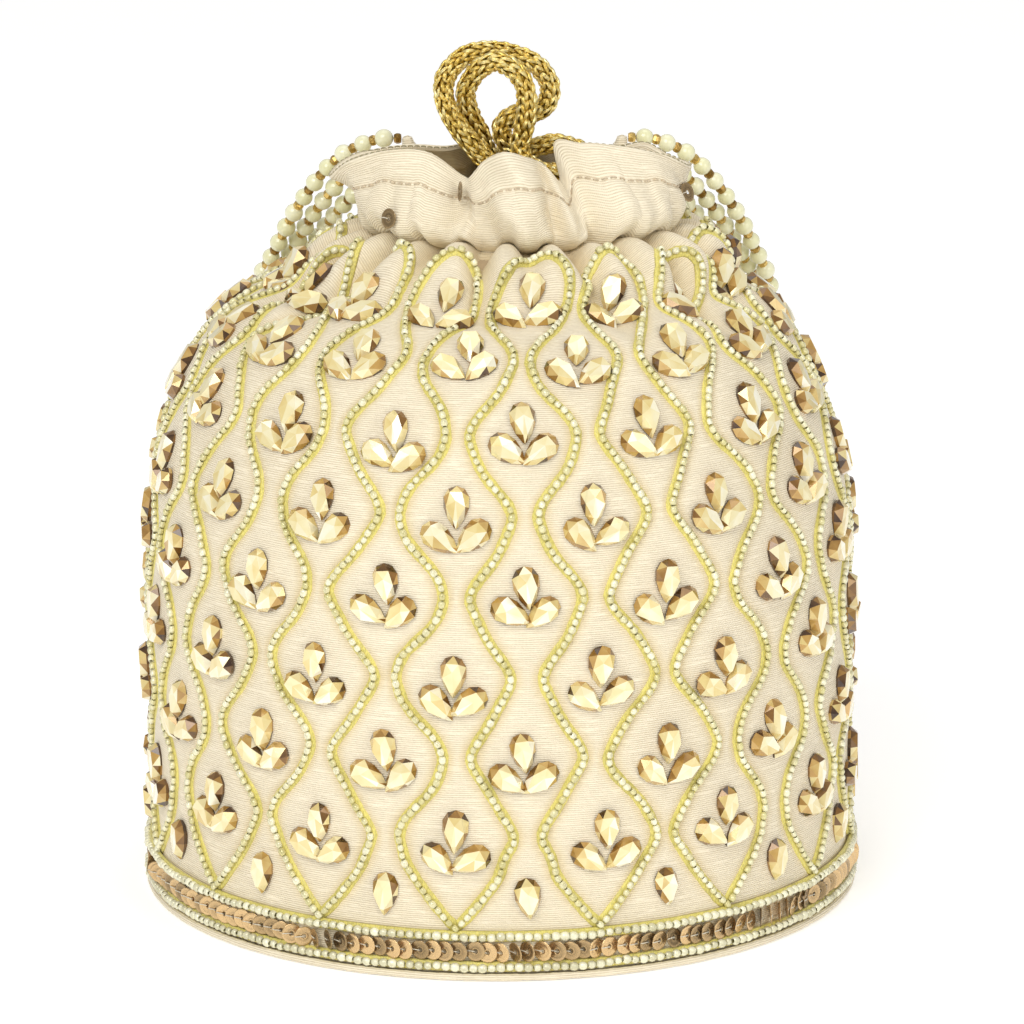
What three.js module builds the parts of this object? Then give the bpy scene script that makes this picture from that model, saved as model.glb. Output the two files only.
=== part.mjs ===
// A round, beaded silk potli bag: a flat-based drawstring pouch, drawn shut,
// with a gathered neck, a flared frill, a knotted gold drawstring and a
// three-strand pearl handle that hangs down its back.
// Millimetres, +Z up. The origin is the centre of the base and the front is -Y.
import * as THREE from "three";
import { mergeVertices } from "three/addons/utils/BufferGeometryUtils.js";

// Driving dimensions.
const BODY_RADIUS = 87; // outer face of the silk on the straight side
const SHOULDER_START = 80; // height where the side starts to curve in
const DOME_TOP = 168; // height at which the shoulder curve would close
const SHOULDER_POWER = 2.6; // how square the shoulder is; 2 is an ellipse
const NECK_HEIGHT = 166;
const FRILL_TOP = 186;
const PLEATS = 14; // gathers round the neck
const GATHER_START = 140; // height where the gathers begin to show
const PLEAT_DEPTH = 2.4;

const CLOTH = 1.2; // quilted silk wall
const LINING = 0.8;
const GAP = 0.7; // air between layers
const TOUCH = 0.5; // clearance between pieces sewn together

const PANEL_THICKNESS = 1.2; // silk-covered underside
const BOARD_THICKNESS = 2; // card stiffener
const BEAD = 2.1; // glass seed bead across its hole
const SEQUIN_BAND = 4.8;
const CORD = 4.8; // knitted drawstring
const PEARL = 4.5;

const MOTIF_COLUMNS = 16; // columns of stones that the looped trails go round
const FIRST_COLUMN_DEG = -7; // the front column, from -Y towards +X
const FIRST_MOTIF = 34.5; // height of the lowest motif of a column, up the cloth
const TRAIL_START = 13.5; // lowest bead of a trail, up the cloth
const TRAIL_END = 157;
const TRAIL_PERIOD = 38.8; // one wave of a bead trail, which is one motif
const TRAIL_SWING = 6.9; // half the wave's width

const HANDLE_REACH = 28.5; // from the middle of the handle to where its strings start
const HANDLE_SHIFT = 4; // the drawn neck sits right of the bag's middle
const HANDLE_PIVOT_Y = 27;
const HANDLE_PIVOT_Z = 176.5;
const STRAND_SPACING = 5.25; // from the middle of one string to the next

const LATHE_STEPS = 4 * PLEATS;
const RING_STEPS = 48;

const bag = new THREE.Group();

const finishes = {
  silk: { color: 0xeedcc0, roughness: 0.55, metalness: 0 },
  lining: { color: 0xe3cba6, roughness: 0.45, metalness: 0 },
  card: { color: 0xb9a283, roughness: 0.9, metalness: 0 },
  piping: { color: 0xcdb48c, roughness: 0.6, metalness: 0 },
  beads: { color: 0xe6d68a, roughness: 0.15, metalness: 0 },
  sequins: { color: 0xb98f66, roughness: 0.25, metalness: 0.8 },
  gold: { color: 0xc79a3a, roughness: 0.35, metalness: 0.8 },
  pearl: { color: 0xf1ecc9, roughness: 0.2, metalness: 0 },
};

function add(name, geometry, finish) {
  const mesh = new THREE.Mesh(geometry, new THREE.MeshStandardMaterial(finishes[finish]));
  mesh.name = name;
  bag.add(mesh);
}

// ---- The cloth's shape -------------------------------------------------

// The side of the bag from the base to the neck, as radius against height.
class Meridian extends THREE.Curve {
  getPoint(t, target = new THREE.Vector2()) {
    const z = NECK_HEIGHT * t;
    const rise = Math.max(0, (z - SHOULDER_START) / (DOME_TOP - SHOULDER_START));
    const shrink = (1 - rise ** SHOULDER_POWER) ** (1 / SHOULDER_POWER);
    return target.set(BODY_RADIUS * shrink, z);
  }
}
const meridian = new Meridian();
meridian.arcLengthDivisions = 400;
const SIDE_LENGTH = meridian.getLength();

// A point on the side, s up the cloth from the base and out from its face.
function onSide(s, out = 0) {
  const u = Math.min(1, s / SIDE_LENGTH);
  const point = meridian.getPointAt(u);
  const along = meridian.getTangentAt(u);
  return new THREE.Vector2(point.x + out * along.y, point.y - out * along.x);
}

// Where the drawn neck takes a point of the round bag: the neck is a flat
// oval a little right of centre, the frill is flatter, and both are pleated.
// The narrow throat inside the neck has no pleats of its own.
function gathered(phi, radius, z) {
  const draw = THREE.MathUtils.smoothstep(z, GATHER_START, NECK_HEIGHT);
  const flare = THREE.MathUtils.smoothstep(z, NECK_HEIGHT, FRILL_TOP);
  const pleated = THREE.MathUtils.smoothstep(radius, 19, 28);
  const wave = Math.cos(PLEATS * phi) * (1 - 0.5 * flare) + Math.cos((PLEATS / 2) * phi) * flare;
  const r = radius + pleated * PLEAT_DEPTH * draw * wave;
  const wide = 1 + 0.1 * draw + 0.24 * flare;
  const deep = 1 - 0.1 * draw - 0.23 * flare;
  const shift = 6 * draw - 2 * flare;
  return new THREE.Vector3(r * wide * Math.sin(phi) + shift, -r * deep * Math.cos(phi), z);
}

// Turns a closed outline of radius and height points round the Z axis.
function turned(outline, steps) {
  const geometry = new THREE.LatheGeometry(outline, steps);
  geometry.deleteAttribute("normal");
  geometry.deleteAttribute("uv");
  return mergeVertices(geometry.rotateX(Math.PI / 2));
}

// The same, drawn in at the neck as the cloth is.
function turnedCloth(outline, steps) {
  const geometry = turned(outline, steps);
  const position = geometry.getAttribute("position");
  for (let i = 0; i < position.count; i++) {
    const [x, y, z] = [position.getX(i), position.getY(i), position.getZ(i)];
    const radius = Math.hypot(x, y);
    if (radius < 1e-6) continue;
    const moved = gathered(Math.atan2(x, -y), radius, z);
    position.setXYZ(i, moved.x, moved.y, moved.z);
  }
  return geometry;
}

function ring(radius, height, thickness, sides = 4) {
  const outline = [];
  for (let i = 0; i <= sides; i++) {
    const a = (2 * Math.PI * (i % sides)) / sides;
    outline.push(
      new THREE.Vector2(
        radius + (thickness / 2) * Math.cos(a),
        height + (thickness / 2) * Math.sin(a),
      ),
    );
  }
  return turned(outline, RING_STEPS);
}

function flatRing(inner, outer, low, high) {
  const corners = [
    [inner, low],
    [outer, low],
    [outer, high],
    [inner, high],
    [inner, low],
  ];
  return turned(corners.map(([r, z]) => new THREE.Vector2(r, z)), RING_STEPS);
}

function disc(radius, low, high) {
  const corners = [
    [0, low],
    [radius, low],
    [radius, high],
    [0, high],
  ];
  return turned(corners.map(([r, z]) => new THREE.Vector2(r, z)), RING_STEPS);
}

function tube(points, diameter, sides, steps) {
  const section = new THREE.Shape();
  for (let i = 0; i < sides; i++) {
    const a = (2 * Math.PI * i) / sides;
    const [x, y] = [(diameter / 2) * Math.cos(a), (diameter / 2) * Math.sin(a)];
    if (i === 0) section.moveTo(x, y);
    else section.lineTo(x, y);
  }
  const extrudePath = new THREE.CatmullRomCurve3(points, false, "centripetal");
  return new THREE.ExtrudeGeometry(section, { extrudePath, steps, bevelEnabled: false });
}

// ---- Base ---------------------------------------------------------------

const PANEL_RADIUS = BODY_RADIUS - 0.3;
const SHELL_FOOT = PANEL_THICKNESS + TOUCH;
const BOARD_TOP = SHELL_FOOT + BOARD_THICKNESS;

add("base_panel", disc(PANEL_RADIUS, 0, PANEL_THICKNESS), "silk");
add("base_board", disc(BODY_RADIUS - CLOTH - 1, SHELL_FOOT, BOARD_TOP), "card");
add("base_piping", ring(BODY_RADIUS + 1.1, 1.1, 1.8), "piping");

// ---- Outer silk and lining ----------------------------------------------

// Distances up the cloth at which its outline turns.
const sideStops = [80, 98, 114, 129, 143, 156, 168, 178, 186];
const sideFoot = SHELL_FOOT;

// The frill's outer face above the neck, as radius and height.
const frillLine = [
  [29.6, 169],
  [30.6, 173.5],
  [32, 178],
  [33, 182.5],
  [33.5, FRILL_TOP],
];

const shellOutline = [new THREE.Vector2(BODY_RADIUS, sideFoot)];
for (const s of sideStops) shellOutline.push(onSide(s));
shellOutline.push(onSide(SIDE_LENGTH));
for (const [r, z] of frillLine) shellOutline.push(new THREE.Vector2(r, z));
for (const [r, z] of frillLine.toReversed()) shellOutline.push(new THREE.Vector2(r - 1.4, z));
for (const s of sideStops.toReversed()) shellOutline.push(onSide(s, -CLOTH));
shellOutline.push(new THREE.Vector2(BODY_RADIUS - CLOTH, sideFoot));
shellOutline.push(shellOutline[0].clone());
add("silk_shell", turnedCloth(shellOutline, LATHE_STEPS), "silk");

// The lining is sewn into a narrow throat inside the neck. The drawstrings run
// in the tunnel between the throat and the silk.
const TUNNEL_FLOOR = 162;
const THROAT_TOP = 174;
const THROAT_OUTER = 18.3;
const THROAT_INNER = 9;
const LINING_OUT = -(CLOTH + GAP);
const LINING_IN = LINING_OUT - LINING;
const LINING_FOOT = BOARD_TOP + TOUCH;
const shoulderStops = sideStops.slice(0, -1);

const liningOutline = [
  new THREE.Vector2(0, LINING_FOOT),
  new THREE.Vector2(BODY_RADIUS + LINING_OUT, LINING_FOOT),
];
for (const s of shoulderStops) liningOutline.push(onSide(s, LINING_OUT));
liningOutline.push(
  new THREE.Vector2(30, TUNNEL_FLOOR),
  new THREE.Vector2(THROAT_OUTER, TUNNEL_FLOOR),
  new THREE.Vector2(THROAT_OUTER, THROAT_TOP),
  new THREE.Vector2(THROAT_INNER, THROAT_TOP),
  new THREE.Vector2(THROAT_INNER, TUNNEL_FLOOR - LINING),
  new THREE.Vector2(30, TUNNEL_FLOOR - LINING),
);
for (const s of shoulderStops.toReversed()) liningOutline.push(onSide(s, LINING_IN));
liningOutline.push(
  new THREE.Vector2(BODY_RADIUS + LINING_IN, LINING_FOOT + LINING),
  new THREE.Vector2(0, LINING_FOOT + LINING),
);
add("lining", turnedCloth(liningOutline, LATHE_STEPS / 2), "lining");

// ---- Rim trim -----------------------------------------------------------

const BEAD_ROW_RADIUS = BODY_RADIUS + TOUCH + BEAD / 2;
add("rim_bead_row_lower", ring(BEAD_ROW_RADIUS, 3.6, BEAD), "beads");
add(
  "sequin_band",
  flatRing(BODY_RADIUS + TOUCH, BODY_RADIUS + 1.6, 4.95, 4.95 + SEQUIN_BAND),
  "sequins",
);
add("rim_bead_row_upper", ring(BEAD_ROW_RADIUS, 11.1, BEAD), "beads");

// ---- Beaded trails ------------------------------------------------------

// Each trail runs down one side of a column of stones, turns in a point above
// the rim and runs up the other side, swinging out round every motif.
const TRAIL_OUT = BEAD / 2 + 0.7;
const COLUMN_ANGLE = (2 * Math.PI) / MOTIF_COLUMNS;
const TRAIL_STEPS_UP = 18;

function trailPoint(column, side, s) {
  const wave = Math.cos((2 * Math.PI * (s - FIRST_MOTIF)) / TRAIL_PERIOD);
  const across = (BODY_RADIUS * COLUMN_ANGLE) / 4 + TRAIL_SWING * wave;
  const centre = THREE.MathUtils.degToRad(FIRST_COLUMN_DEG) + column * COLUMN_ANGLE;
  const { x: radius, y: height } = onSide(s, TRAIL_OUT);
  return gathered(centre + (side * across) / BODY_RADIUS, radius, height);
}

for (let column = 0; column < MOTIF_COLUMNS; column++) {
  const points = [];
  for (let i = -TRAIL_STEPS_UP; i <= TRAIL_STEPS_UP; i++) {
    const up = Math.abs(i) / TRAIL_STEPS_UP;
    const s = THREE.MathUtils.lerp(TRAIL_START, TRAIL_END, up);
    points.push(trailPoint(column, Math.sign(i), s));
  }
  const name = "bead_trail_" + String(column + 1).padStart(2, "0");
  add(name, tube(points, BEAD, 4, points.length - 1), "beads");
}

// ---- Drawstrings --------------------------------------------------------

// A point of the tunnel round the neck, at an angle from +X towards the back.
function inTunnel(degrees, height) {
  const a = THREE.MathUtils.degToRad(degrees);
  return new THREE.Vector3(6 + 25.5 * Math.cos(a), 19.2 * Math.sin(a), height);
}

function tunnelRun(from, to, height, stops) {
  const points = [];
  for (let i = 0; i <= stops; i++) {
    points.push(inTunnel(THREE.MathUtils.lerp(from, to, i / stops), height));
  }
  return points;
}

const route = (list) => list.map(([x, y, z]) => new THREE.Vector3(x, y, z));

// The outer cord runs round the neck, rises in the mouth, makes the tall loop,
// tucks back under itself in a half knot and goes back in on the right.
const outerCord = [
  ...tunnelRun(25, 235, 171, 9),
  ...route([
    [-2.5, -18.2, 172.6],
    [3, -17, 175.8],
    [4, -12.5, 178.2],
    [1.5, -7.5, 179.6],
    [-2.6, -4, 181.6],
    [-6.8, -2.7, 185.9],
    [-10.4, -1.6, 190.5],
    [-12.8, -0.6, 195.1],
    [-13.4, 0.3, 199.1],
    [-12.2, 1.2, 202.6],
    [-8.2, 2.2, 206.3],
    [-2.6, 2.9, 207.6],
    [4.9, 3.1, 206.3],
    [9.8, 3.2, 203.6],
    [12.2, 3.3, 200],
    [12.6, 3.4, 197],
    [11.4, 3.4, 194],
    [8.6, 3.4, 192.2],
    [4.4, 3.4, 191.8],
    [1.4, 3.2, 189.8],
    [0.8, 3, 187],
    [2.4, 3.1, 184.2],
    [5.4, 3.6, 182.9],
    [9.8, 3.9, 183.8],
    [14.4, 4.2, 184.4],
    [18.6, 5, 183],
    [23, 5, 180.6],
    [27.3, 4.4, 177.9],
    [30.4, 3, 174.6],
    [31.3, 1.5, 171],
  ]),
];

// The inner cord runs round below it and makes the small loop inside the tall one.
const innerCord = [
  ...tunnelRun(-88, -360, 165.5, 11),
  ...route([
    [30.9, -5, 168.4],
    [29.2, -8.6, 172.6],
    [26, -9, 176.4],
    [20, -5, 178.2],
    [13, 0.5, 177.9],
    [6, 4.6, 177.6],
    [0.4, 5.4, 178.6],
    [-2.6, 4.4, 182],
    [-4.6, 3, 187.4],
    [-7, 1.6, 192.6],
    [-7.9, 0, 197.9],
    [-6.3, -1.2, 201.7],
    [-3.7, -2.2, 204.6],
    [-0.4, -2.8, 205.9],
    [3, -3.1, 204.6],
    [5.8, -3.2, 201.4],
    [6.8, -3.2, 197.9],
    [6.8, -3.1, 193.3],
    [6.2, -3, 189],
    [5.2, -3, 185],
    [6.4, -4.4, 181.6],
    [10.6, -8, 179.4],
    [14.8, -12, 178],
    [16.6, -15.4, 175.6],
    [15.2, -17.4, 172],
    [11.4, -18.8, 168.6],
  ]),
];

add("drawstring_outer", tube(outerCord, CORD, 8, 56), "gold");
add("drawstring_inner", tube(innerCord, CORD, 8, 56), "gold");

// ---- Pearl handle -------------------------------------------------------

// A folded silk tab on each side of the frill's back holds the three strings.
const TAB = { wide: 7, deep: 7, tall: 15 };
for (const [name, side] of [
  ["handle_tab_left", -1],
  ["handle_tab_right", 1],
]) {
  const tab = new THREE.BoxGeometry(TAB.wide, TAB.deep, TAB.tall);
  const x = HANDLE_SHIFT + side * (HANDLE_REACH - TOUCH - TAB.wide / 2);
  add(name, tab.translate(x, HANDLE_PIVOT_Y, HANDLE_PIVOT_Z), "silk");
}

// The middle string's route on the right, from the tab over the shoulder and
// down behind the bag to its lowest point, and at each stop the direction in
// which the outer string lies beside it.
const handleRoute = [
  { at: [HANDLE_REACH, HANDLE_PIVOT_Y, HANDLE_PIVOT_Z], beside: [0, 0, 1] },
  { at: [34, 27.4, 176.2], beside: [0, 0, 1] },
  { at: [41.3, 30.6, 172.2], beside: [0.4, -0.2, 0.9] },
  { at: [49.6, 38.5, 162], beside: [0.72, -0.48, 0.5] },
  { at: [56.2, 48.5, 150], beside: [0.78, -0.6, 0.15] },
  { at: [61.3, 56.8, 139.5], beside: [0.78, -0.6, -0.2] },
  { at: [61, 63, 127], beside: [0.72, -0.56, -0.4] },
  { at: [56.5, 72, 110], beside: [0.66, -0.46, -0.6] },
  { at: [50, 79, 93], beside: [0.6, -0.35, -0.7] },
  { at: [40, 85.5, 76], beside: [0.45, -0.2, -0.85] },
  { at: [26, 90.5, 59.5], beside: [0.25, -0.05, -0.97] },
  { at: [9, 94, 50], beside: [0, 0, -1] },
];

// The shift to the right is gone by the time the strings hang behind the bag.
function handlePoint({ at, beside }, side, strand) {
  const place = at.map((value, i) => value + beside[i] * strand * STRAND_SPACING);
  const shift = HANDLE_SHIFT * THREE.MathUtils.smoothstep(at[2], 100, 150);
  return new THREE.Vector3(side * place[0] + shift, place[1], place[2]);
}

for (let i = 0; i < 3; i++) {
  const right = handleRoute.map((stop) => handlePoint(stop, 1, i - 1));
  const left = handleRoute.map((stop) => handlePoint(stop, -1, i - 1)).toReversed();
  add("pearl_strand_" + (i + 1), tube([...right, ...left], PEARL, 8, 44), "pearl");
}

export default bag;
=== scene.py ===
"""A beaded silk potli bag: the finished surface of every piece, built round its construction model.

Shapes are worked out in millimetres and scaled to metres when a piece is made.
Angles round the bag run from the front, -Y, towards +X.
"""

import math

import bpy
import numpy as np
from bpy.props import FloatProperty, FloatVectorProperty, IntProperty, PointerProperty
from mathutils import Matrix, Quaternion, Vector


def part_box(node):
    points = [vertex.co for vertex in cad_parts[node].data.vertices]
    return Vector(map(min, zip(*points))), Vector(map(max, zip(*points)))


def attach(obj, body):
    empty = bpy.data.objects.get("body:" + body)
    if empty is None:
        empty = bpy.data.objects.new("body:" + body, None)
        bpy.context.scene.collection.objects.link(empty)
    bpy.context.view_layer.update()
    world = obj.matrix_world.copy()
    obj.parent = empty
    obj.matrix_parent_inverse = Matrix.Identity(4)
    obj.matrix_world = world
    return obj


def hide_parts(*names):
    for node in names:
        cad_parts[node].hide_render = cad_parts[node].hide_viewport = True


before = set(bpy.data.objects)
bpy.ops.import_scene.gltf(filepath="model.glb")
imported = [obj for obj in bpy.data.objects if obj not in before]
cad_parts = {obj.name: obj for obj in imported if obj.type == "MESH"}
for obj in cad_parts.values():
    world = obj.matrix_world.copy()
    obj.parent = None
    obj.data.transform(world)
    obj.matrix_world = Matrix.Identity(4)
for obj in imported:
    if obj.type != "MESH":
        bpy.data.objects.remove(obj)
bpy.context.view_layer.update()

bl_info = {
    "name": "Potli Bag",
    "version": (1, 0, 0),
    "blender": (4, 5, 0),
    "location": "3D View > Sidebar > Potli",
    "description": "Builds a beaded silk drawstring bag",
    "category": "Add Mesh",
}

MM = 0.001
TURN = 2 * math.pi


def box_mm(node):
    """The lowest and highest corner of a construction piece, in millimetres."""
    low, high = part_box(node)
    return np.array(low) / MM, np.array(high) / MM


# ---- Sizes of the construction, in millimetres ------------------------------

SHELL_LOW, SHELL_HIGH = box_mm("silk_shell")
BODY_RADIUS = (SHELL_HIGH[1] - SHELL_LOW[1]) / 2
SHELL_FOOT = SHELL_LOW[2]
SHOULDER_START = 80
DOME_TOP = 168
SHOULDER_POWER = 2.6
NECK_HEIGHT = 166
GATHER_START = 140
FLATTEST_HEIGHT = 157
LINE_DEPTH_WIDTH = 2.8

COLUMNS = 16
COLUMN_ANGLE = TURN / COLUMNS
FIRST_COLUMN = math.radians(-7)
FIRST_MOTIF = 34.5
MOTIF_RISE = 38.8
TRAIL_SWING = 5.4
TRAIL_TIP = 13
ARCH_START = 172
ARCH_RISE = 12


# ---- Settings ---------------------------------------------------------------


def number_setting(name, description, value, **limits):
    return FloatProperty(name=name, description=description, default=value, **{"min": 0, **limits})


def length_setting(name, description, millimetres):
    return number_setting(name, description, millimetres * MM, unit="LENGTH", precision=5)


def colour_setting(name, description, colour):
    return FloatVectorProperty(
        name=name, description=description, default=colour, size=3, min=0, max=1, subtype="COLOR"
    )


class ClothSettings(bpy.types.PropertyGroup):
    """Sizes of the silk."""

    crease: number_setting("Crease depth", "Depth of the gathers, as a share of the usual", 1)
    quilting: length_setting("Quilting", "How far the bead lines draw the silk in", 0.8)
    rib: length_setting("Rib pitch", "Distance from one rib of the weave to the next", 0.52)
    thickness: length_setting("Cloth thickness", "Thickness of the frill's cloth", 0.9)
    # The silk's colour runs between these two: towards the shade colour between the ribs as painted shade,
    # and at random with the threads' own tone.
    light: colour_setting("Silk", "Colour of the silk's ribs", (0.95, 0.86, 0.67))
    shade: colour_setting("Silk shade", "Colour between the silk's ribs", (0.58, 0.48, 0.31))
    lining: colour_setting("Lining", "Colour of the lining", (0.72, 0.56, 0.36))


class TrimSettings(bpy.types.PropertyGroup):
    """Sizes of the beads, stones and sequins."""

    trail_bead: length_setting("Trail bead", "Width of a bead of the looped lines", 1.7)
    rim_bead: length_setting("Rim bead", "Width of a bead of the rim's two rows", 2.05)
    stone_length: length_setting("Stone length", "Length of a pear-shaped stone", 10.4)
    stone_width: length_setting("Stone width", "Width of a pear-shaped stone", 6.4)
    stone_height: length_setting("Stone height", "How far a stone stands up", 2.4)
    sequin: length_setting("Sequin", "Width of a sequin", 4.9)
    sequin_pitch: length_setting("Sequin pitch", "Distance from one rim sequin to the next", 3.3)
    thread: colour_setting("Trail thread", "Colour of the satin cord under the beads", (0.84, 0.74, 0.20))
    bead: colour_setting("Beads", "Colour of the glass beads", (0.90, 0.83, 0.38))
    sequin_colour: colour_setting("Sequins", "Colour of the sequins", (0.50, 0.35, 0.18))


class CordSettings(bpy.types.PropertyGroup):
    """Sizes of the drawstrings and the handle's strings."""

    width: length_setting("Drawstring", "Width of a drawstring", 4.8)
    stitch: length_setting("Stitch", "Length of one knitted stitch", 2.4)
    wales: IntProperty(
        name="Stitch columns", description="Columns of stitches round a cord", default=6, min=3
    )
    pearl: length_setting("Pearl", "Width of a pearl", 4.7)
    pearl_pitch: length_setting("Pearl pitch", "Distance from one pearl to the next", 5.7)
    gold: colour_setting("Gold yarn", "Colour of the metallic yarn", (0.74, 0.46, 0.06))
    pearl_colour: colour_setting("Pearls", "Colour of the pearls", (0.93, 0.92, 0.68))


class StudioSettings(bpy.types.PropertyGroup):
    """The camera and the lights."""

    elevation: number_setting("Elevation", "How far the camera looks down", math.radians(14), subtype="ANGLE")
    distance: length_setting("Distance", "From the camera to the bag", 1400)
    lens: number_setting("Lens", "Focal length in millimetres", 198.6, min=1)
    key: number_setting("Key light", "Power of the key light", 21, unit="POWER")
    fill: number_setting("Fill light", "Power of each soft light beside and above", 6, unit="POWER")
    far: number_setting("Far light", "Power of the light over the far floor", 4.5, unit="POWER")
    sky: number_setting("Surround", "Strength of the studio's walls", 0.42)
    floor: colour_setting("Floor", "Colour of the floor", (0.9, 0.9, 0.9))


class PotliSettings(bpy.types.PropertyGroup):
    """Every size and colour of the bag."""

    cloth: PointerProperty(type=ClothSettings)
    trim: PointerProperty(type=TrimSettings)
    cords: PointerProperty(type=CordSettings)
    studio: PointerProperty(type=StudioSettings)


def settings():
    return bpy.context.scene.potli


# ---- Small maths ------------------------------------------------------------

CURVE_STEPS = 24
ROUTE_STEP = 0.6


def smoothstep(value, low, high):
    t = np.clip((value - low) / (high - low), 0, 1)
    return t * t * (3 - 2 * t)


def bell(distance, width):
    return np.exp(-((distance / width) ** 2))


def unit(vectors):
    return vectors / np.maximum(np.linalg.norm(vectors, axis=-1, keepdims=True), 1e-12)


def wrapped(angle):
    """An angle brought between minus and plus half a turn."""
    return (angle + math.pi) % TURN - math.pi


def all_round(count):
    """Evenly spaced angles round a full turn."""
    return np.arange(count) * TURN / count


def repeated(vector, count):
    return np.tile(np.array(vector, float), (count, 1))


def away_from_middle(a):
    """The level outward direction at angles from the front."""
    return np.stack([np.sin(a), -np.cos(a), np.zeros(len(a))], 1)


def reaches(points):
    """How far along a line each of its points is."""
    return np.concatenate([[0], np.cumsum(np.linalg.norm(np.diff(points, axis=0), axis=1))])


def read_along(stops, reach, values):
    """Values held along a line, read at stops between them."""
    return np.stack([np.interp(stops, reach, values[:, k]) for k in range(3)], -1)


def spaced(points, step):
    """The same line with its points evenly spaced, about step apart."""
    reach = reaches(points)
    stops = np.linspace(0, reach[-1], max(2, round(reach[-1] / step) + 1))
    return read_along(stops, reach, points)


def through(stops):
    """A smooth curve through the stops, its speed eased by the root of their spacing."""
    stops = np.asarray(stops, float)
    stops = np.vstack([2 * stops[0] - stops[1], stops, 2 * stops[-1] - stops[-2]])
    ease = np.maximum(np.linalg.norm(np.diff(stops, axis=0), axis=1) ** 0.5, 1e-4)
    t = np.linspace(0, 1, CURVE_STEPS, endpoint=False)[:, None]
    line = []
    for i in range(1, len(stops) - 2):
        before, start, end, after = stops[i - 1 : i + 3]
        a, b, c = ease[i - 1 : i + 2]
        leave = ((start - before) / a - (end - before) / (a + b) + (end - start) / b) * b
        arrive = ((end - start) / b - (after - start) / (b + c) + (after - end) / c) * b
        square = -3 * start + 3 * end - 2 * leave - arrive
        cube = 2 * start - 2 * end + leave + arrive
        line.append(start + leave * t + square * t**2 + cube * t**3)
    return np.vstack([*line, stops[-2:-1]])


def round_spline(degrees, values, phi):
    """A smooth closed curve through values given at angles in rising order."""
    knots = np.radians(np.concatenate([np.array(degrees) - 360, degrees, np.array(degrees) + 360]))
    heights = np.vstack([values] * 3).astype(float)
    step = np.diff(knots)[:, None]
    slope = np.diff(heights, axis=0) / step
    tangent = (slope[:-1] * step[1:] + slope[1:] * step[:-1]) / (step[:-1] + step[1:])
    tangent = np.vstack([slope[:1], tangent, slope[-1:]])
    i = np.searchsorted(knots, phi, side="right") - 1
    h = (knots[i + 1] - knots[i])[..., None]
    t = ((phi - knots[i]) / (knots[i + 1] - knots[i]))[..., None]
    return (
        heights[i] * (2 * t**3 - 3 * t**2 + 1)
        + tangent[i] * h * (t**3 - 2 * t**2 + t)
        + heights[i + 1] * (3 * t**2 - 2 * t**3)
        + tangent[i + 1] * h * (t**3 - t**2)
    )


# ---- Meshes -----------------------------------------------------------------


class Shape:
    """Points in millimetres with faces of four corners, or of three and a -1, and values at the points."""

    def __init__(self, points, faces, uv=None):
        self.points = np.asarray(points, float).reshape(-1, 3)
        self.faces = np.asarray(faces, int).reshape(-1, 4)
        self.uv = np.zeros((len(self.faces), 4, 2)) if uv is None else uv
        self.values = {}


def joined(shapes):
    starts = np.cumsum([0] + [len(s.points) for s in shapes[:-1]])
    faces = [np.where(s.faces < 0, -1, s.faces + start) for s, start in zip(shapes, starts)]
    points, uv = np.vstack([s.points for s in shapes]), np.concatenate([s.uv for s in shapes])
    whole = Shape(points, np.vstack(faces), uv)
    for name in {n for s in shapes for n in s.values}:
        whole.values[name] = np.concatenate([s.values.get(name, np.zeros(len(s.points))) for s in shapes])
    return whole


def stamped(shape, origins, axes, **values):
    """A copy of the shape at each origin, turned so that its x, y and z lie along that copy's axes."""
    count = len(origins)
    points = np.einsum("pk,nkj->npj", shape.points, axes) + origins[:, None]
    shift = (np.arange(count) * len(shape.points))[:, None, None]
    faces = np.where(shape.faces < 0, -1, shape.faces[None] + shift)
    copies = Shape(points, faces, np.tile(shape.uv, (count, 1, 1)))
    for name, value in shape.values.items():
        copies.values[name] = np.tile(value, count)
    for name, value in values.items():
        copies.values[name] = np.repeat(value, len(shape.points))
    return copies


def cloth_uv(around, lengths):
    """Metres round and along the cloth at each row and column, from millimetres."""
    return np.stack(np.broadcast_arrays(around[None] * MM, lengths[:, None] * MM), -1)


def girth_steps(columns, girth):
    """Distances round a closed row of cloth, with the first point again at the end."""
    return np.arange(columns + 1) / columns * girth


def grid(points, wrap_rows=True, uv=None):
    """A skin over rows of points, each row closed on itself.

    Its outside is where column direction x row direction points. Its uv has one more
    column than its points, so that the seam closes on itself.
    """
    rows, columns = points.shape[:2]
    r = np.arange(rows if wrap_rows else rows - 1)
    r, c = (a.ravel() for a in np.meshgrid(r, np.arange(columns), indexing="ij"))
    far_r, far_c = (r + 1) % rows, (c + 1) % columns
    faces = np.stack([r * columns + c, r * columns + far_c, far_r * columns + far_c, far_r * columns + c], 1)
    corners = None
    if uv is not None:
        corners = np.stack([uv[r, c], uv[r, c + 1], uv[far_r, c + 1], uv[far_r, c]], 1)
    return Shape(points, faces, corners)


def circle(radius, sides):
    a = all_round(sides)
    return np.stack([radius * np.cos(a), radius * np.sin(a)], 1)


def turned(outline, sides):
    """A closed outline of radius and height, up outside and down inside, turned round Z."""
    outline = np.asarray(outline, float)
    a = all_round(sides)
    radius, height = outline[:, :1], np.repeat(outline[:, 1:], sides, 1)
    points = np.stack([radius * np.cos(a), radius * np.sin(a), height], 2)
    return grid(points)


def capped(skin, columns):
    """Closes both ends of a tube whose rows have that many columns."""
    last = len(skin.points) - columns
    i = np.arange(1, columns - 1)
    nothing = np.full(len(i), -1)
    start = np.stack([np.zeros(len(i), int), i + 1, i, nothing], 1)
    end = np.stack([np.full(len(i), last), last + i, last + i + 1, nothing], 1)
    lids = Shape(skin.points, np.vstack([skin.faces, start, end]))
    lids.uv[: len(skin.faces)] = skin.uv
    return lids


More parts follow.
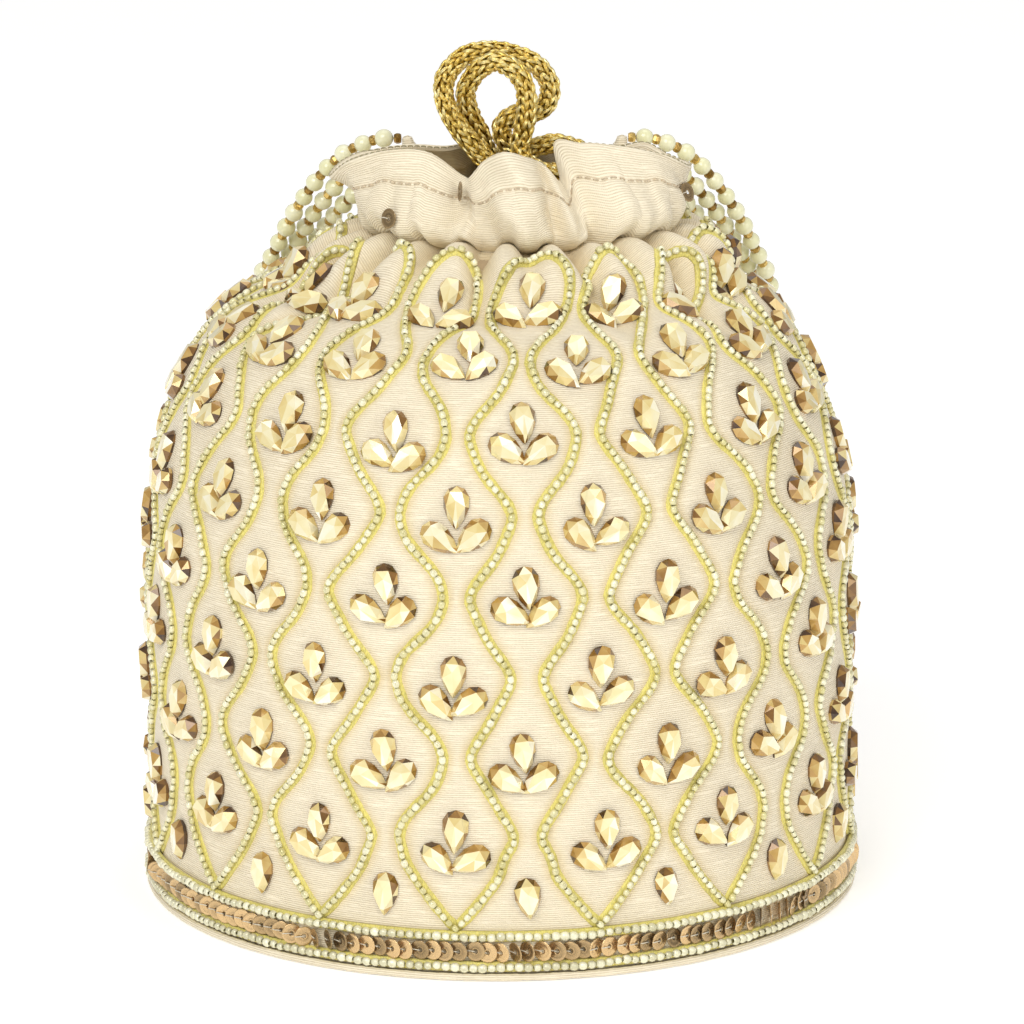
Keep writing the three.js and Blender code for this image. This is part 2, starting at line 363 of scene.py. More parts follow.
def swept(centres, side, up, section, closed=False, girth=0):
    """A skin round a line: section points are distances to the side and up. Cloth has a girth."""
    section = np.asarray(section, float)
    if section.ndim == 2:
        section = np.broadcast_to(section, (len(centres), *section.shape))
    points = centres[:, None] + section[..., :1] * side[:, None] + section[..., 1:] * up[:, None]
    uv = None
    if girth:
        uv = cloth_uv(girth_steps(section.shape[1], girth), reaches(centres))
    skin = grid(points, closed, uv)
    return skin if closed else capped(skin, section.shape[1])


def make_piece(name, shape, material, body="bag", replaces=(), smooth=True):
    """Makes a mesh object of a shape, with its finish, the body it rides on and what it stands for."""
    mesh = bpy.data.meshes.new(name)
    faces = shape.faces
    used = faces >= 0
    loops = faces[used]
    counts = used.sum(1)
    mesh.vertices.add(len(shape.points))
    mesh.vertices.foreach_set("co", (shape.points * MM).ravel())
    mesh.loops.add(len(loops))
    mesh.loops.foreach_set("vertex_index", loops.astype(np.int32))
    mesh.polygons.add(len(faces))
    mesh.polygons.foreach_set("loop_start", (np.cumsum(counts) - counts).astype(np.int32))
    mesh.update(calc_edges=True)
    mesh.polygons.foreach_set("use_smooth", np.full(len(faces), smooth))
    if shape.uv.any():
        mesh.uv_layers.new(name="cloth").data.foreach_set("uv", shape.uv[used].ravel())
    for key, value in shape.values.items():
        mesh.attributes.new(key, "FLOAT", "POINT").data.foreach_set("value", value)
    mesh.materials.append(material)
    if mesh.validate():
        raise RuntimeError(f"{name} has a broken mesh")
    piece = bpy.data.objects.new(name, mesh)
    bpy.context.scene.collection.objects.link(piece)
    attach(piece, body)
    if replaces:
        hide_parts(*replaces)
    return piece


class Route:
    """A line with a side and an up direction carried along it without twisting."""

    def __init__(self, points):
        self.points = spaced(points, ROUTE_STEP)
        self.reach = reaches(self.points)
        self.length = self.reach[-1]
        self.tangents = unit(np.gradient(self.points, axis=0))
        side = np.cross(self.tangents[0], (0.3, 0.2, 1))
        self.sides = np.empty_like(self.points)
        for i, tangent in enumerate(self.tangents):
            side = side - tangent * (side @ tangent)
            side /= np.linalg.norm(side)
            self.sides[i] = side
        self.ups = np.cross(self.tangents, self.sides)

    def at(self, distance):
        """The centre, side, up and onward directions at distances along the line."""
        directions = (self.sides, self.ups, self.tangents)
        centre = read_along(distance, self.reach, self.points)
        return centre, *(unit(read_along(distance, self.reach, way)) for way in directions)

    def bend(self, points):
        """Moves points from a straight line along Z onto this one."""
        centre, side, up, _ = self.at(points[..., 2])
        return centre + side * points[..., :1] + up * points[..., 1:2]


# ---- Materials --------------------------------------------------------------


class Wire:
    """A socket of a material: arithmetic on it adds the nodes that work it out."""

    def __init__(self, finish, socket):
        self.finish = finish
        self.socket = socket

    def __add__(self, other):
        return self.finish.maths("ADD", self, other)

    def __sub__(self, other):
        return self.finish.maths("SUBTRACT", self, other)

    def __rsub__(self, other):
        return self.finish.maths("SUBTRACT", other, self)

    def __mul__(self, other):
        return self.finish.maths("MULTIPLY", self, other)

    __radd__ = __add__
    __rmul__ = __mul__

    def sine(self):
        return self.finish.maths("SINE", self)

    def between(self, low, high):
        """0 below low, 1 above high and a smooth step between."""
        ranged = {"interpolation_type": "SMOOTHSTEP"}
        ends = {"Value": self, "From Min": low, "From Max": high}
        return self.finish.node("ShaderNodeMapRange", ranged, ends)


class Finish:
    """A material being made from nodes."""

    def __init__(self, name):
        self.material = bpy.data.materials.new(name)
        self.material.use_nodes = True
        self.tree = self.material.node_tree
        self.tree.nodes.clear()

    def node(self, kind, settings=None, sockets=None, out=0):
        """Adds a node: its settings first, then what its sockets hold or are linked to."""
        made = self.tree.nodes.new(kind)
        for key, value in (settings or {}).items():
            if key == "stops":
                ramp = made.color_ramp.elements
                while len(ramp) < len(value):
                    ramp.new(0.5)
                for element, (place, colour) in zip(ramp, value):
                    element.position = place
                    element.color = (*colour, 1)
            else:
                setattr(made, key, value)
        for key, value in (sockets or {}).items():
            found = made.inputs[key] if isinstance(key, int) else self.socket(made.inputs, key)
            if isinstance(value, Wire):
                self.tree.links.new(value.socket, found)
            else:
                found.default_value = value
        result = made.outputs[out] if isinstance(out, int) else self.socket(made.outputs, out)
        return Wire(self, result)

    @staticmethod
    def socket(sockets, key):
        for socket in sockets:
            if key in (socket.identifier, socket.name):
                return socket
        raise KeyError(key)

    def maths(self, operation, *values):
        return self.node("ShaderNodeMath", {"operation": operation}, dict(enumerate(values)))

    def mix(self, low, high, factor):
        """A colour between two colours."""
        low, high = (c if isinstance(c, Wire) else (*c, 1) for c in (low, high))
        sockets = {"Factor_Float": factor, "A_Color": low, "B_Color": high}
        return self.node("ShaderNodeMix", {"data_type": "RGBA"}, sockets, "Result_Color")

    def ramp(self, value, *stops):
        return self.node("ShaderNodeValToRGB", {"stops": stops}, {"Fac": value})

    def held(self, name):
        """A value held at the points of the mesh."""
        return self.node("ShaderNodeAttribute", {"attribute_name": name}, out="Fac")

    def noise(self, vector, scale, detail):
        return self.node("ShaderNodeTexNoise", None, {"Vector": vector, "Scale": scale, "Detail": detail})

    def place(self):
        return self.node("ShaderNodeTexCoord", out="Object")

    def along_cloth(self):
        """Metres round the bag, metres up the cloth and the two as a vector."""
        cloth = self.node("ShaderNodeUVMap", {"uv_map": "cloth"})
        return self.parted(cloth)

    def parted(self, vector):
        parts = [self.node("ShaderNodeSeparateXYZ", None, {"Vector": vector}, k) for k in (0, 1)]
        return (*parts, vector)

    def stretched(self, vector, *scales):
        return self.node("ShaderNodeVectorMath", {"operation": "MULTIPLY"}, {0: vector, 1: scales})

    def bump(self, height, distance, strength):
        """A surface normal from a height that runs from 0 to 1 over a distance in millimetres."""
        sockets = {"Height": height, "Distance": distance * MM, "Strength": strength}
        return self.node("ShaderNodeBump", None, sockets)

    def surface(self, sockets):
        """Ends the material with one surface shader."""
        shader = self.node("ShaderNodeBsdfPrincipled", None, sockets)
        output = self.tree.nodes.new("ShaderNodeOutputMaterial")
        self.tree.links.new(shader.socket, output.inputs["Surface"])
        return self.material


def darker(colour, share):
    return tuple(c * share for c in colour)


def waves(phase):
    """A wave from 0 to 1."""
    return (phase.sine() + 1) * 0.5


def once(maker):
    """Keeps a material so that every piece of the same finish shares it."""
    kept = {}

    def give(*arguments):
        if arguments not in kept:
            kept[arguments] = maker(*arguments)
        return kept[arguments]

    return give


def silk_weave(finish, u, v, vector, pitch):
    """The ribs of the weave: its height, the paleness of its threads and its streaks, with painted shade
    between the ribs.
    """
    drift = finish.noise(finish.stretched(vector, 90, 260, 1), 1, 3)
    rib = waves(v * (TURN / pitch) + drift * 5)
    warp = waves(u * (TURN / (pitch * 0.62)) + drift * 3)
    slub = finish.noise(finish.stretched(vector, 130, 2400, 1), 1, 2).between(0.53, 0.72)
    fibre = finish.noise(finish.stretched(vector, 900, 5200, 1), 1, 1)
    height = rib * 0.7 + warp * 0.25 + slub * 0.35
    # The rib term darkens the silk between the ribs as painted shade; the warp, slub and fibre terms vary the
    # threads' own tone.
    pale = rib * 0.5 + warp * 0.1 + slub * 0.3 + fibre * 0.36
    return height, pale, drift


@once
def silk_finish(by_cloth):
    """Ribbed dupion silk, laid along the cloth or straight across the piece."""
    cloth = settings().cloth
    finish = Finish("silk" if by_cloth else "silk_flat")
    u, v, vector = finish.along_cloth() if by_cloth else finish.parted(finish.place())
    height, pale, drift = silk_weave(finish, u, v, vector, cloth.rib)
    cloudy = finish.noise(vector, 28, 3)
    tone = pale + cloudy * 0.3 - 0.12
    colour = finish.mix(cloth.shade, cloth.light, tone.between(0.02, 0.72))
    # Painted shade: beside the couched lines, where the cloth puckers, and in the gathers, the silk's colour
    # is mixed towards golden brown.
    colour = finish.mix(colour, (0.72, 0.54, 0.24), finish.held("pucker") * (0.35 + cloudy * 0.4))
    return finish.surface(
        {
            "Base Color": colour,
            "Roughness": drift * 0.2 + 0.38,
            "Specular IOR Level": 0.42,
            "Sheen Weight": 0.25,
            "Sheen Roughness": 0.4,
            "Sheen Tint": (1, 0.93, 0.78, 1),
            "Normal": finish.bump(height, 0.13, 0.9),
        }
    )


@once
def lining_finish():
    cloth = settings().cloth
    finish = Finish("lining_satin")
    u, v, vector = finish.along_cloth()
    twill = waves((u + v) * (TURN / (0.7 * MM)))
    cloudy = finish.noise(vector, 40, 3)
    deep = darker(cloth.lining, 0.6)
    return finish.surface(
        {
            "Base Color": finish.mix(deep, cloth.lining, cloudy * 0.7 + twill * 0.3),
            "Roughness": cloudy * 0.2 + 0.3,
            "Normal": finish.bump(twill, 0.04, 0.6),
        }
    )


@once
def card_finish():
    finish = Finish("card")
    place = finish.place()
    pulp = finish.noise(place, 900, 4)
    fleck = finish.noise(finish.stretched(place, 700, 2200, 700), 1, 2).between(0.58, 0.7)
    colour = finish.mix((0.42, 0.31, 0.19), (0.56, 0.45, 0.31), pulp)
    return finish.surface(
        {
            "Base Color": finish.mix(colour, (0.3, 0.2, 0.11), fleck * 0.6),
            "Roughness": pulp * 0.2 + 0.75,
            "Normal": finish.bump(pulp, 0.06, 0.5),
        }
    )


@once
def thread_finish(name, colour):
    """A satin cord of fine twisted threads, or a single stitch."""
    finish = Finish(name)
    place = finish.place()
    twist = finish.noise(finish.stretched(place, 2600, 2600, 1500), 1, 2)
    cloudy = finish.noise(place, 160, 2)
    deep = darker(colour, 0.6)
    return finish.surface(
        {
            "Base Color": finish.mix(deep, colour, (twist + cloudy * 0.6).between(0.45, 1.05)),
            "Roughness": twist * 0.25 + 0.3,
            "Sheen Weight": 0.2,
            "Normal": finish.bump(twist, 0.1, 0.7),
        }
    )


@once
def bead_finish(name, colour):
    """Silver-lined glass: bright walls round a hole that is painted dark, as painted shade."""
    finish = Finish(name)
    core = finish.held("core")
    tint = finish.held("tint")
    glass = finish.mix(darker(colour, 0.8), (1.0, 0.98, 0.74), tint)
    return finish.surface(
        {
            # Painted shade: the hole, its rims and the face over it are mixed towards dark olive.
            "Base Color": finish.mix(glass, (0.30, 0.26, 0.08), core),
            "Metallic": 0.12,
            "Roughness": tint * 0.12 + 0.12,
            "Coat Weight": 0.8,
            "Coat Roughness": 0.05,
            "Normal": finish.bump(finish.noise(finish.place(), 1500, 1), 0.06, 0.4),
        }
    )


@once
def stone_finish():
    """Foil-backed champagne glass: each facet is painted its own brightness, from dark brown to near white,
    as a painted reflection of the foil.
    """
    finish = Finish("stone")
    shade = finish.held("shade")
    glow = finish.noise(finish.place(), 330, 1)
    mirror = finish.ramp(
        shade + glow * 0.22 - 0.11,
        (0.0, (0.05, 0.022, 0.008)),
        (0.2, (0.25, 0.12, 0.025)),
        (0.4, (0.55, 0.33, 0.09)),
        (0.6, (0.80, 0.64, 0.27)),
        (0.8, (0.92, 0.83, 0.50)),
        (1.0, (0.98, 0.95, 0.80)),
    )
    return finish.surface(
        {
            "Base Color": mirror,
            "Metallic": 0.15,
            "Roughness": glow * 0.08 + 0.08,
            "Coat Weight": 0.7,
            "Coat Roughness": 0.02,
        }
    )


@once
def sequin_finish():
    finish = Finish("sequin")
    tint = finish.held("tint")
    ring = finish.held("ring")
    scratch = finish.noise(finish.place(), 2200, 2)
    trim = settings().trim
    deep = darker(trim.sequin_colour, 0.45)
    bright = tuple(min(1, c * 1.5) for c in trim.sequin_colour)
    # Painted highlight: the pressed rings are mixed lighter; the tint varies each sequin at random.
    colour = finish.mix(deep, bright, (tint + ring * 0.35).between(0.0, 1.1))
    return finish.surface(
        {
            "Base Color": colour,
            "Metallic": 0.8,
            "Roughness": scratch * 0.16 + 0.2,
            "Normal": finish.bump(ring * 0.5 + scratch * 0.2, 0.08, 0.6),
        }
    )


@once
def gold_finish():
    """Flat metallic filaments wound round a yarn, with painted glints and painted shade between the
    filaments.
    """
    gold = settings().cords.gold
    finish = Finish("gold_yarn")
    u, v, _ = finish.along_cloth()
    filament = waves(v * (TURN / (0.21 * MM)) + u * (TURN / (1.6 * MM)))
    glint = finish.noise(finish.place(), 1900, 2)
    tint = finish.held("tint")
    # Painted glints and shade: the glint noise and the filament stripes run the colour from deep brown to
    # pale gold.
    tone = filament * 0.4 + glint * 0.7 + tint * 0.3
    stops = [(0.2, darker(gold, 0.12)), (0.5, tuple(gold)), (0.74, (0.98, 0.78, 0.24)), (1, (1, 0.93, 0.56))]
    return finish.surface(
        {
            "Base Color": finish.ramp(tone, *stops),
            "Metallic": 0.95,
            "Roughness": glint * 0.25 + 0.2,
            "Normal": finish.bump(filament * 0.6 + glint * 0.6, 0.14, 0.8),
        }
    )


@once
def pearl_finish():
    pearl = settings().cords.pearl_colour
    finish = Finish("pearl")
    tint = finish.held("tint")
    skin = finish.noise(finish.place(), 420, 3)
    deep = tuple(c * d for c, d in zip(pearl, (0.86, 0.86, 0.66)))
    return finish.surface(
        {
            "Base Color": finish.mix(deep, pearl, tint * 0.6 + skin * 0.5),
            "Roughness": skin * 0.1 + 0.14,
            "Coat Weight": 0.7,
            "Coat Roughness": 0.08,
            "Sheen Weight": 0.3,
            "Normal": finish.bump(skin, 0.05, 0.25),
        }
    )


@once
def spacer_finish():
    """Small cut beads of old gold."""
    finish = Finish("old_gold")
    tint = finish.held("tint")
    worn = finish.noise(finish.place(), 1500, 2)
    tone = (tint * 0.6 + worn * 0.5).between(0.2, 0.9)
    return finish.surface(
        {
            "Base Color": finish.mix((0.30, 0.17, 0.04), (0.78, 0.55, 0.18), tone),
            "Metallic": 0.85,
            "Roughness": worn * 0.2 + 0.16,
            "Normal": finish.bump(worn, 0.05, 0.4),
        }
    )


@once
def floor_finish(colour):
    finish = Finish("floor")
    grain = finish.noise(finish.place(), 60, 4)
    return finish.surface(
        {
            "Base Color": finish.mix(darker(colour, 0.995), colour, grain),
            "Roughness": 0.9,
            "Specular IOR Level": 0.1,
            "Emission Color": (1, 1, 1, 1),
            "Emission Strength": 0.34,
        }
    )


# ---- The cloth's shape ------------------------------------------------------

SIDE_Z = np.linspace(0, NECK_HEIGHT, 3001)
SIDE_RISE = np.clip((SIDE_Z - SHOULDER_START) / (DOME_TOP - SHOULDER_START), 0, 1)
SIDE_RADIUS = BODY_RADIUS * (1 - SIDE_RISE**SHOULDER_POWER) ** (1 / SHOULDER_POWER)
SIDE_LENGTHS = np.concatenate([[0], np.cumsum(np.hypot(np.diff(SIDE_Z), np.diff(SIDE_RADIUS)))])
CLOTH_END = SIDE_LENGTHS[-1]
SIDE_SLOPE = np.gradient(SIDE_RADIUS, SIDE_LENGTHS)
SIDE_CLIMB = np.gradient(SIDE_Z, SIDE_LENGTHS)
FLAT_SHOULDER = np.interp(FLATTEST_HEIGHT, SIDE_Z, SIDE_LENGTHS)

# Each gather: its angle at the neck and at its foot in degrees, its depth and its length.
FRONT_GATHERS = [
    (-78, -84, 5.5, 42),
    (-64, -76, 8.5, 52),
    (-46, -62, 7.5, 56),
    (-32, -29, 6, 30),
    (-15, -7, 7.5, 36),
    (2, 3, 5, 24),
    (17, 31, 7, 44),
    (32, 36, 5, 30),
    (49, 57, 8, 52),
    (66, 72, 6, 46),
    (84, 90, 6, 46),
]


def back_gathers():
    """The gathers that go on round the back, a little uneven."""
    draw = np.random.default_rng(7)
    found = []
    angle = 99.0
    while angle < 268:
        foot = angle + draw.uniform(-6, 6)
        found.append((angle, foot, draw.uniform(4.5, 8), draw.uniform(28, 54)))
        angle += draw.uniform(10, 16)
    return found


GATHERS = FRONT_GATHERS + back_gathers()


def side_profile(s):
    """Radius, height and the outward direction of the round bag, s up the cloth."""
    read = [np.interp(s, SIDE_LENGTHS, v) for v in (SIDE_RADIUS, SIDE_Z, SIDE_CLIMB, SIDE_SLOPE)]
    return read[0], read[1], read[2], -read[3]


def gathered(phi, radius, z):
    """Draws the round bag in to the neck's flat oval, a little right of centre."""
    draw = smoothstep(z, GATHER_START, NECK_HEIGHT)
    across = radius * (1 + 0.1 * draw) * np.sin(phi) + 6 * draw
    return np.stack([across, -radius * (1 - 0.1 * draw) * np.cos(phi), z], -1)


def creases(phi, s, radius):
    """How far the gathers sink below the round cloth."""
    sunk = 0
    for neck, foot, depth, length in GATHERS:
        up = smoothstep(s, CLOTH_END - length, CLOTH_END - 3)
        away = wrapped(phi - np.radians(foot + (neck - foot) * up))
        sunk = sunk + depth * up**0.8 * bell(away, math.radians(4.2))
    room = 2.4 + 0.75 * np.maximum(radius - 29, 0)
    return np.minimum(sunk * settings().cloth.crease, room)


def trail_reach(s, column, side):
    """How far a bead line lies from the middle of its column of stones, at s up the cloth."""
    theta = wrapped(TURN * (s - FIRST_MOTIF) / MOTIF_RISE)
    wave = 0.72 * np.cos(theta) + 0.28 * (1 - 2 * np.abs(theta) / math.pi)
    middle = BODY_RADIUS * COLUMN_ANGLE / 4
    reach = middle + TRAIL_SWING * wave
    reach = reach + 0.85 * np.sin(0.13 * s + 2.4 * column + 1.3 * side)
    reach = reach + 0.35 * np.sin(0.47 * s + 1.7 * column - 2.1 * side)
    # The two lines of a column meet in a straight-sided point above the rim.
    point = (middle + TRAIL_SWING * 0.92) * np.clip((s - TRAIL_TIP) / 17, 0, 1) ** 0.85
    return reach + (point - reach) * (1 - smoothstep(s, TRAIL_TIP + 11, TRAIL_TIP + 19))


def from_lines(phi, s):
    """How far a point of the cloth lies from the nearest bead line, across the cloth."""
    turn = (phi - FIRST_COLUMN) / COLUMN_ANGLE
    column = np.round(turn)
    across = (turn - column) * COLUMN_ANGLE * BODY_RADIUS
    return np.abs(np.abs(across) - trail_reach(s, column % COLUMNS, np.sign(across)))


def swell(phi, s, radius):
    """How far the silk stands off the plain round bag: drawn in at the bead lines, slack and gathered."""
    drawn = settings().cloth.quilting / MM * bell(from_lines(phi, s), LINE_DEPTH_WIDTH) * smoothstep(s, 8, 30)
    shoulder = 1.4 * bell(s - 128, 34) + 4.2 * bell(s - FLAT_SHOULDER, 13)
    slack = 0.45 * np.sin(5 * phi + s / 21) * np.sin(s / 17 + 2 * phi + 1) * smoothstep(s, 6, 40)
    rising = smoothstep(s, CLOTH_END - 30, CLOTH_END - 14)
    ridge = 3.0 * rising * (1 - smoothstep(s, CLOTH_END - 9, CLOTH_END))
    calm = 1 - smoothstep(s, CLOTH_END - 30, CLOTH_END)
    return (slack - drawn - shoulder) * calm + ridge - creases(phi, s, radius)


def cloth_at(phi, s, out=0.0):
    """The point of the drawn silk at an angle and a distance up the cloth."""
    phi, s = np.broadcast_arrays(np.asarray(phi, float), np.asarray(s, float))
    radius, z, facing_out, facing_up = side_profile(s)
    lift = swell(phi, s, radius) + out
    return gathered(phi, radius + facing_out * lift, z + facing_up * lift)


def cloth_frame(phi, s):
    """Where a trim is sewn on: its point, and the directions across, up and out of the cloth."""
    reach = 0.5
    turn = reach / side_profile(s)[0]
    across = cloth_at(phi + turn, s) - cloth_at(phi - turn, s)
    up = unit(cloth_at(phi, s + reach) - cloth_at(phi, s - reach))
    out = unit(np.cross(across, up))
    return cloth_at(phi, s), np.cross(up, out), up, out


# ---- Camera, floor and lights, in metres --------------------------------------

CAMERA_AIM = (0.003, 0, 0.0926)
CAMERA_ROLL = math.radians(-0.2)
SENSOR_WIDTH = 36
FLOOR_REACH = 8
WARM_WHITE = (1, 0.985, 0.96)


def add_light(name, place, aim, size, power, colour):
    lamp = bpy.data.lights.new(name, "AREA")
    lamp.shape = "RECTANGLE"
    lamp.size, lamp.size_y = size
    lamp.energy = power
    lamp.color = colour
    light = bpy.data.objects.new(name, lamp)
    light.location = place
    light.rotation_mode = "QUATERNION"
    light.rotation_quaternion = (Vector(aim) - Vector(place)).to_track_quat("-Z", "Y")
    bpy.context.scene.collection.objects.link(light)


class POTLI_OT_stage(bpy.types.Operator):
    """Sets the camera, the pale floor and the soft lights"""

    bl_idname = "potli.stage"
    bl_label = "Stage"

    def execute(self, context):
        studio = settings().studio
        scene = context.scene
        aim = Vector(CAMERA_AIM)
        back = Vector((0, -math.cos(studio.elevation), math.sin(studio.elevation)))
        lens = bpy.data.cameras.new("camera")
        lens.lens = studio.lens
        lens.sensor_width = SENSOR_WIDTH
        lens.clip_end = 100
        camera = bpy.data.objects.new("camera", lens)
        camera.location = aim + back * studio.distance
        camera.rotation_mode = "QUATERNION"
        roll = Quaternion((0, 0, 1), CAMERA_ROLL)
        camera.rotation_quaternion = (-back).to_track_quat("-Z", "Y") @ roll
        scene.collection.objects.link(camera)
        scene.camera = camera

        floor_mesh = bpy.data.meshes.new("floor")
        corners = [(x * FLOOR_REACH, y * FLOOR_REACH, 0) for x, y in ((-1, -1), (1, -1), (1, 1), (-1, 1))]
        floor_mesh.from_pydata(corners, [], [(0, 1, 2, 3)])
        floor_mesh.materials.append(floor_finish(tuple(studio.floor)))
        floor = bpy.data.objects.new("floor", floor_mesh)
        scene.collection.objects.link(floor)

        bag = (0, 0, 0.1)
        add_light("key", (-0.55, -1.5, 1.35), bag, (1.3, 1.1), studio.key, WARM_WHITE)
        add_light("fill", (1.2, -1.3, 0.75), bag, (0.9, 0.9), studio.fill, (1, 0.97, 0.93))
        add_light("top", (0.1, 0.3, 1.7), bag, (1.2, 1.2), studio.fill, (1, 1, 1))
        add_light("far_floor", (0, 1.8, 1.1), (0, 1.8, 0), (3, 1), studio.far, (1, 1, 1))
        world = bpy.data.worlds.new("studio")
        world.use_nodes = True
        surround = world.node_tree.nodes["Background"].inputs
        surround["Color"].default_value = (*WARM_WHITE, 1)
        surround["Strength"].default_value = studio.sky
        scene.world = world
        scene.view_settings.view_transform = "Standard"
        return {"FINISHED"}


# ---- Drawstrings ------------------------------------------------------------


def tunnel_run(start, end, height, stops):
    """Points of the tunnel round the neck, from one angle to another, from +X towards the back."""
    turns = [math.radians(start + (end - start) * i / stops) for i in range(stops + 1)]
    return [(6 + 25.5 * math.cos(a), 19.2 * math.sin(a), height) for a in turns]


# The outer cord runs round the neck, rises in the mouth, makes the tall loop,
# tucks back under itself in a half knot and goes back in on the right.
OUTER_CORD = tunnel_run(25, 235, 171, 9) + [
    (-2.5, -18.2, 172.6),
    (3, -17, 175.8),
    (4, -12.5, 178.2),
    (1.5, -7.5, 179.6),
    (-2.6, -4, 181.6),
    (-6.8, -2.7, 185.9),
    (-10.4, -1.6, 190.5),
    (-12.8, -0.6, 195.1),
    (-13.4, 0.3, 199.1),
    (-12.2, 1.2, 202.6),
    (-8.2, 2.2, 206.3),
    (-2.6, 2.9, 207.6),
    (4.9, 3.1, 206.3),
    (9.8, 3.2, 203.6),
    (12.2, 3.3, 200),
    (12.6, 3.4, 197),
    (11.4, 3.4, 194),
    (8.6, 3.4, 192.2),
    (4.4, 3.4, 191.8),
    (1.4, 3.2, 189.8),
    (0.8, 3, 187),
    (2.4, 3.1, 184.2),
    (5.4, 3.6, 182.9),
    (9.8, 3.9, 183.8),
    (14.4, 4.2, 184.4),
    (18.6, 5, 183),
    (23, 5, 180.6),
    (27.3, 4.4, 177.9),
    (30.4, 3, 174.6),
    (31.3, 1.5, 171),
]

# The inner cord runs round below it and makes the small loop inside the tall one.
INNER_CORD = tunnel_run(-88, -360, 165.5, 11) + [
    (30.9, -5, 168.4),
    (29.2, -8.6, 172.6),
    (26, -9, 176.4),
    (20, -5, 178.2),
    (13, 0.5, 177.9),
    (6, 4.6, 177.6),
    (0.4, 5.4, 178.6),
    (-2.6, 4.4, 182),
    (-4.6, 3, 187.4),
    (-7, 1.6, 192.6),
    (-7.9, 0, 197.9),
    (-6.3, -1.2, 201.7),
    (-3.7, -2.2, 204.6),
    (-0.4, -2.8, 205.9),
    (3, -3.1, 204.6),
    (5.8, -3.2, 201.4),
    (6.8, -3.2, 197.9),
    (6.8, -3.1, 193.3),
    (6.2, -3, 189),
    (5.2, -3, 185),
    (6.4, -4.4, 181.6),
    (10.6, -8, 179.4),
    (14.8, -12, 178),
    (16.6, -15.4, 175.6),
    (15.2, -17.4, 172),
    (11.4, -18.8, 168.6),
]

YARN_RADIUS = 0.44

# One leg of a stitch: how far it has gone to the side and up, in stitches, how
# deep it lies as a share of the cord's radius, and how thick the yarn is there.
STITCH_LEG = [
    (0.04, -0.42, 0.66, 0.35),
    (0.10, -0.18, 0.86, 0.85),
    (0.22, 0.12, 0.95, 1.0),
    (0.34, 0.44, 0.94, 1.0),
    (0.44, 0.76, 0.82, 0.85),
    (0.48, 1.02, 0.62, 0.35),
]


def knitted(route, draw):
    """A knitted tube round a route: columns of V stitches over an inner tube painted dark, as painted shade
    between the stitches.
    """
    cords = settings().cords
    radius = cords.width / MM / 2
    wales = cords.wales
    rows = round(route.length / (cords.stitch / MM)) - 1
    pitch = route.length / (rows + 1)
    yarn = YARN_RADIUS
    sides = 5
    leg = np.array(STITCH_LEG)
    row, wale, hand = (
        a.ravel() for a in np.meshgrid(np.arange(rows), np.arange(wales), (-1, 1), indexing="ij")
    )
    count = len(row)
    # Every other column is half a stitch on, and no two stitches are quite alike.
    start = (row + 0.75 + 0.5 * (wale % 2)) * pitch + draw.normal(0, 0.14, count)
    swing = draw.normal(0, 0.07, count)
    angle = (wale[:, None] + hand[:, None] * leg[:, 0] + swing[:, None]) * TURN / wales
    angle = angle + start[:, None] * 0.012
    deep = leg[:, 2] * radius + draw.normal(0, 0.07, (count, 1))
    along = np.clip(start[:, None] + leg[:, 1] * pitch, 0.3, route.length - 0.3)
    centres = np.stack([deep * np.cos(angle), deep * np.sin(angle), along], -1)
    onward = unit(np.gradient(centres, axis=1))
    outward = np.stack([np.cos(angle), np.sin(angle), np.zeros_like(angle)], -1)
    outward = unit(outward - onward * (outward * onward).sum(-1, keepdims=True))
    sideways = np.cross(outward, onward)
    thick = yarn * leg[:, 3] * draw.uniform(0.88, 1.12, (count, 1))
    ring = circle(1, sides)
    skin = centres[:, :, None] + thick[..., None, None] * (
        ring[:, :1] * 1.15 * sideways[:, :, None] + ring[:, 1:] * 0.8 * outward[:, :, None]
    )
    template = capped(grid(skin[0], wrap_rows=False), sides)
    lengthwise = np.repeat(np.arange(len(leg)) * 0.6 * MM, sides).reshape(len(leg), sides)
    crosswise = np.tile(ring[:, 0] * yarn * MM, (len(leg), 1))
    uv_point = np.stack([lengthwise, crosswise], -1).reshape(-1, 2)
    template.uv = uv_point[np.maximum(template.faces, 0)]
    unturned = np.tile(np.eye(3), (count, 1, 1))
    legs = stamped(template, np.zeros((count, 3)), unturned, tint=draw.random(count))
    legs.points = route.bend(skin.reshape(-1, 3))
    stops = np.linspace(0, route.length, round(route.length / 1.2))
    centre, side, up, _ = route.at(stops)
    core = swept(centre, side, up, circle(radius * 0.74, 10))
    # Painted shade: the inner tube's low tint makes it dark brown where it shows between the stitches.
    core.values["tint"] = np.full(len(core.points), -0.9)
    return joined([core, legs])


class POTLI_OT_drawstrings(bpy.types.Operator):
    """Knits the two gold drawstrings"""

    bl_idname = "potli.drawstrings"
    bl_label = "Drawstrings"

    def execute(self, context):
        draw = np.random.default_rng(21)
        for name, stops in (("drawstring_outer", OUTER_CORD), ("drawstring_inner", INNER_CORD)):
            route = Route(through(stops))
            piece = make_piece(name + "_knit", knitted(route, draw), gold_finish(), replaces=[name])
        return {"FINISHED"}


# ---- Pearl handle -----------------------------------------------------------

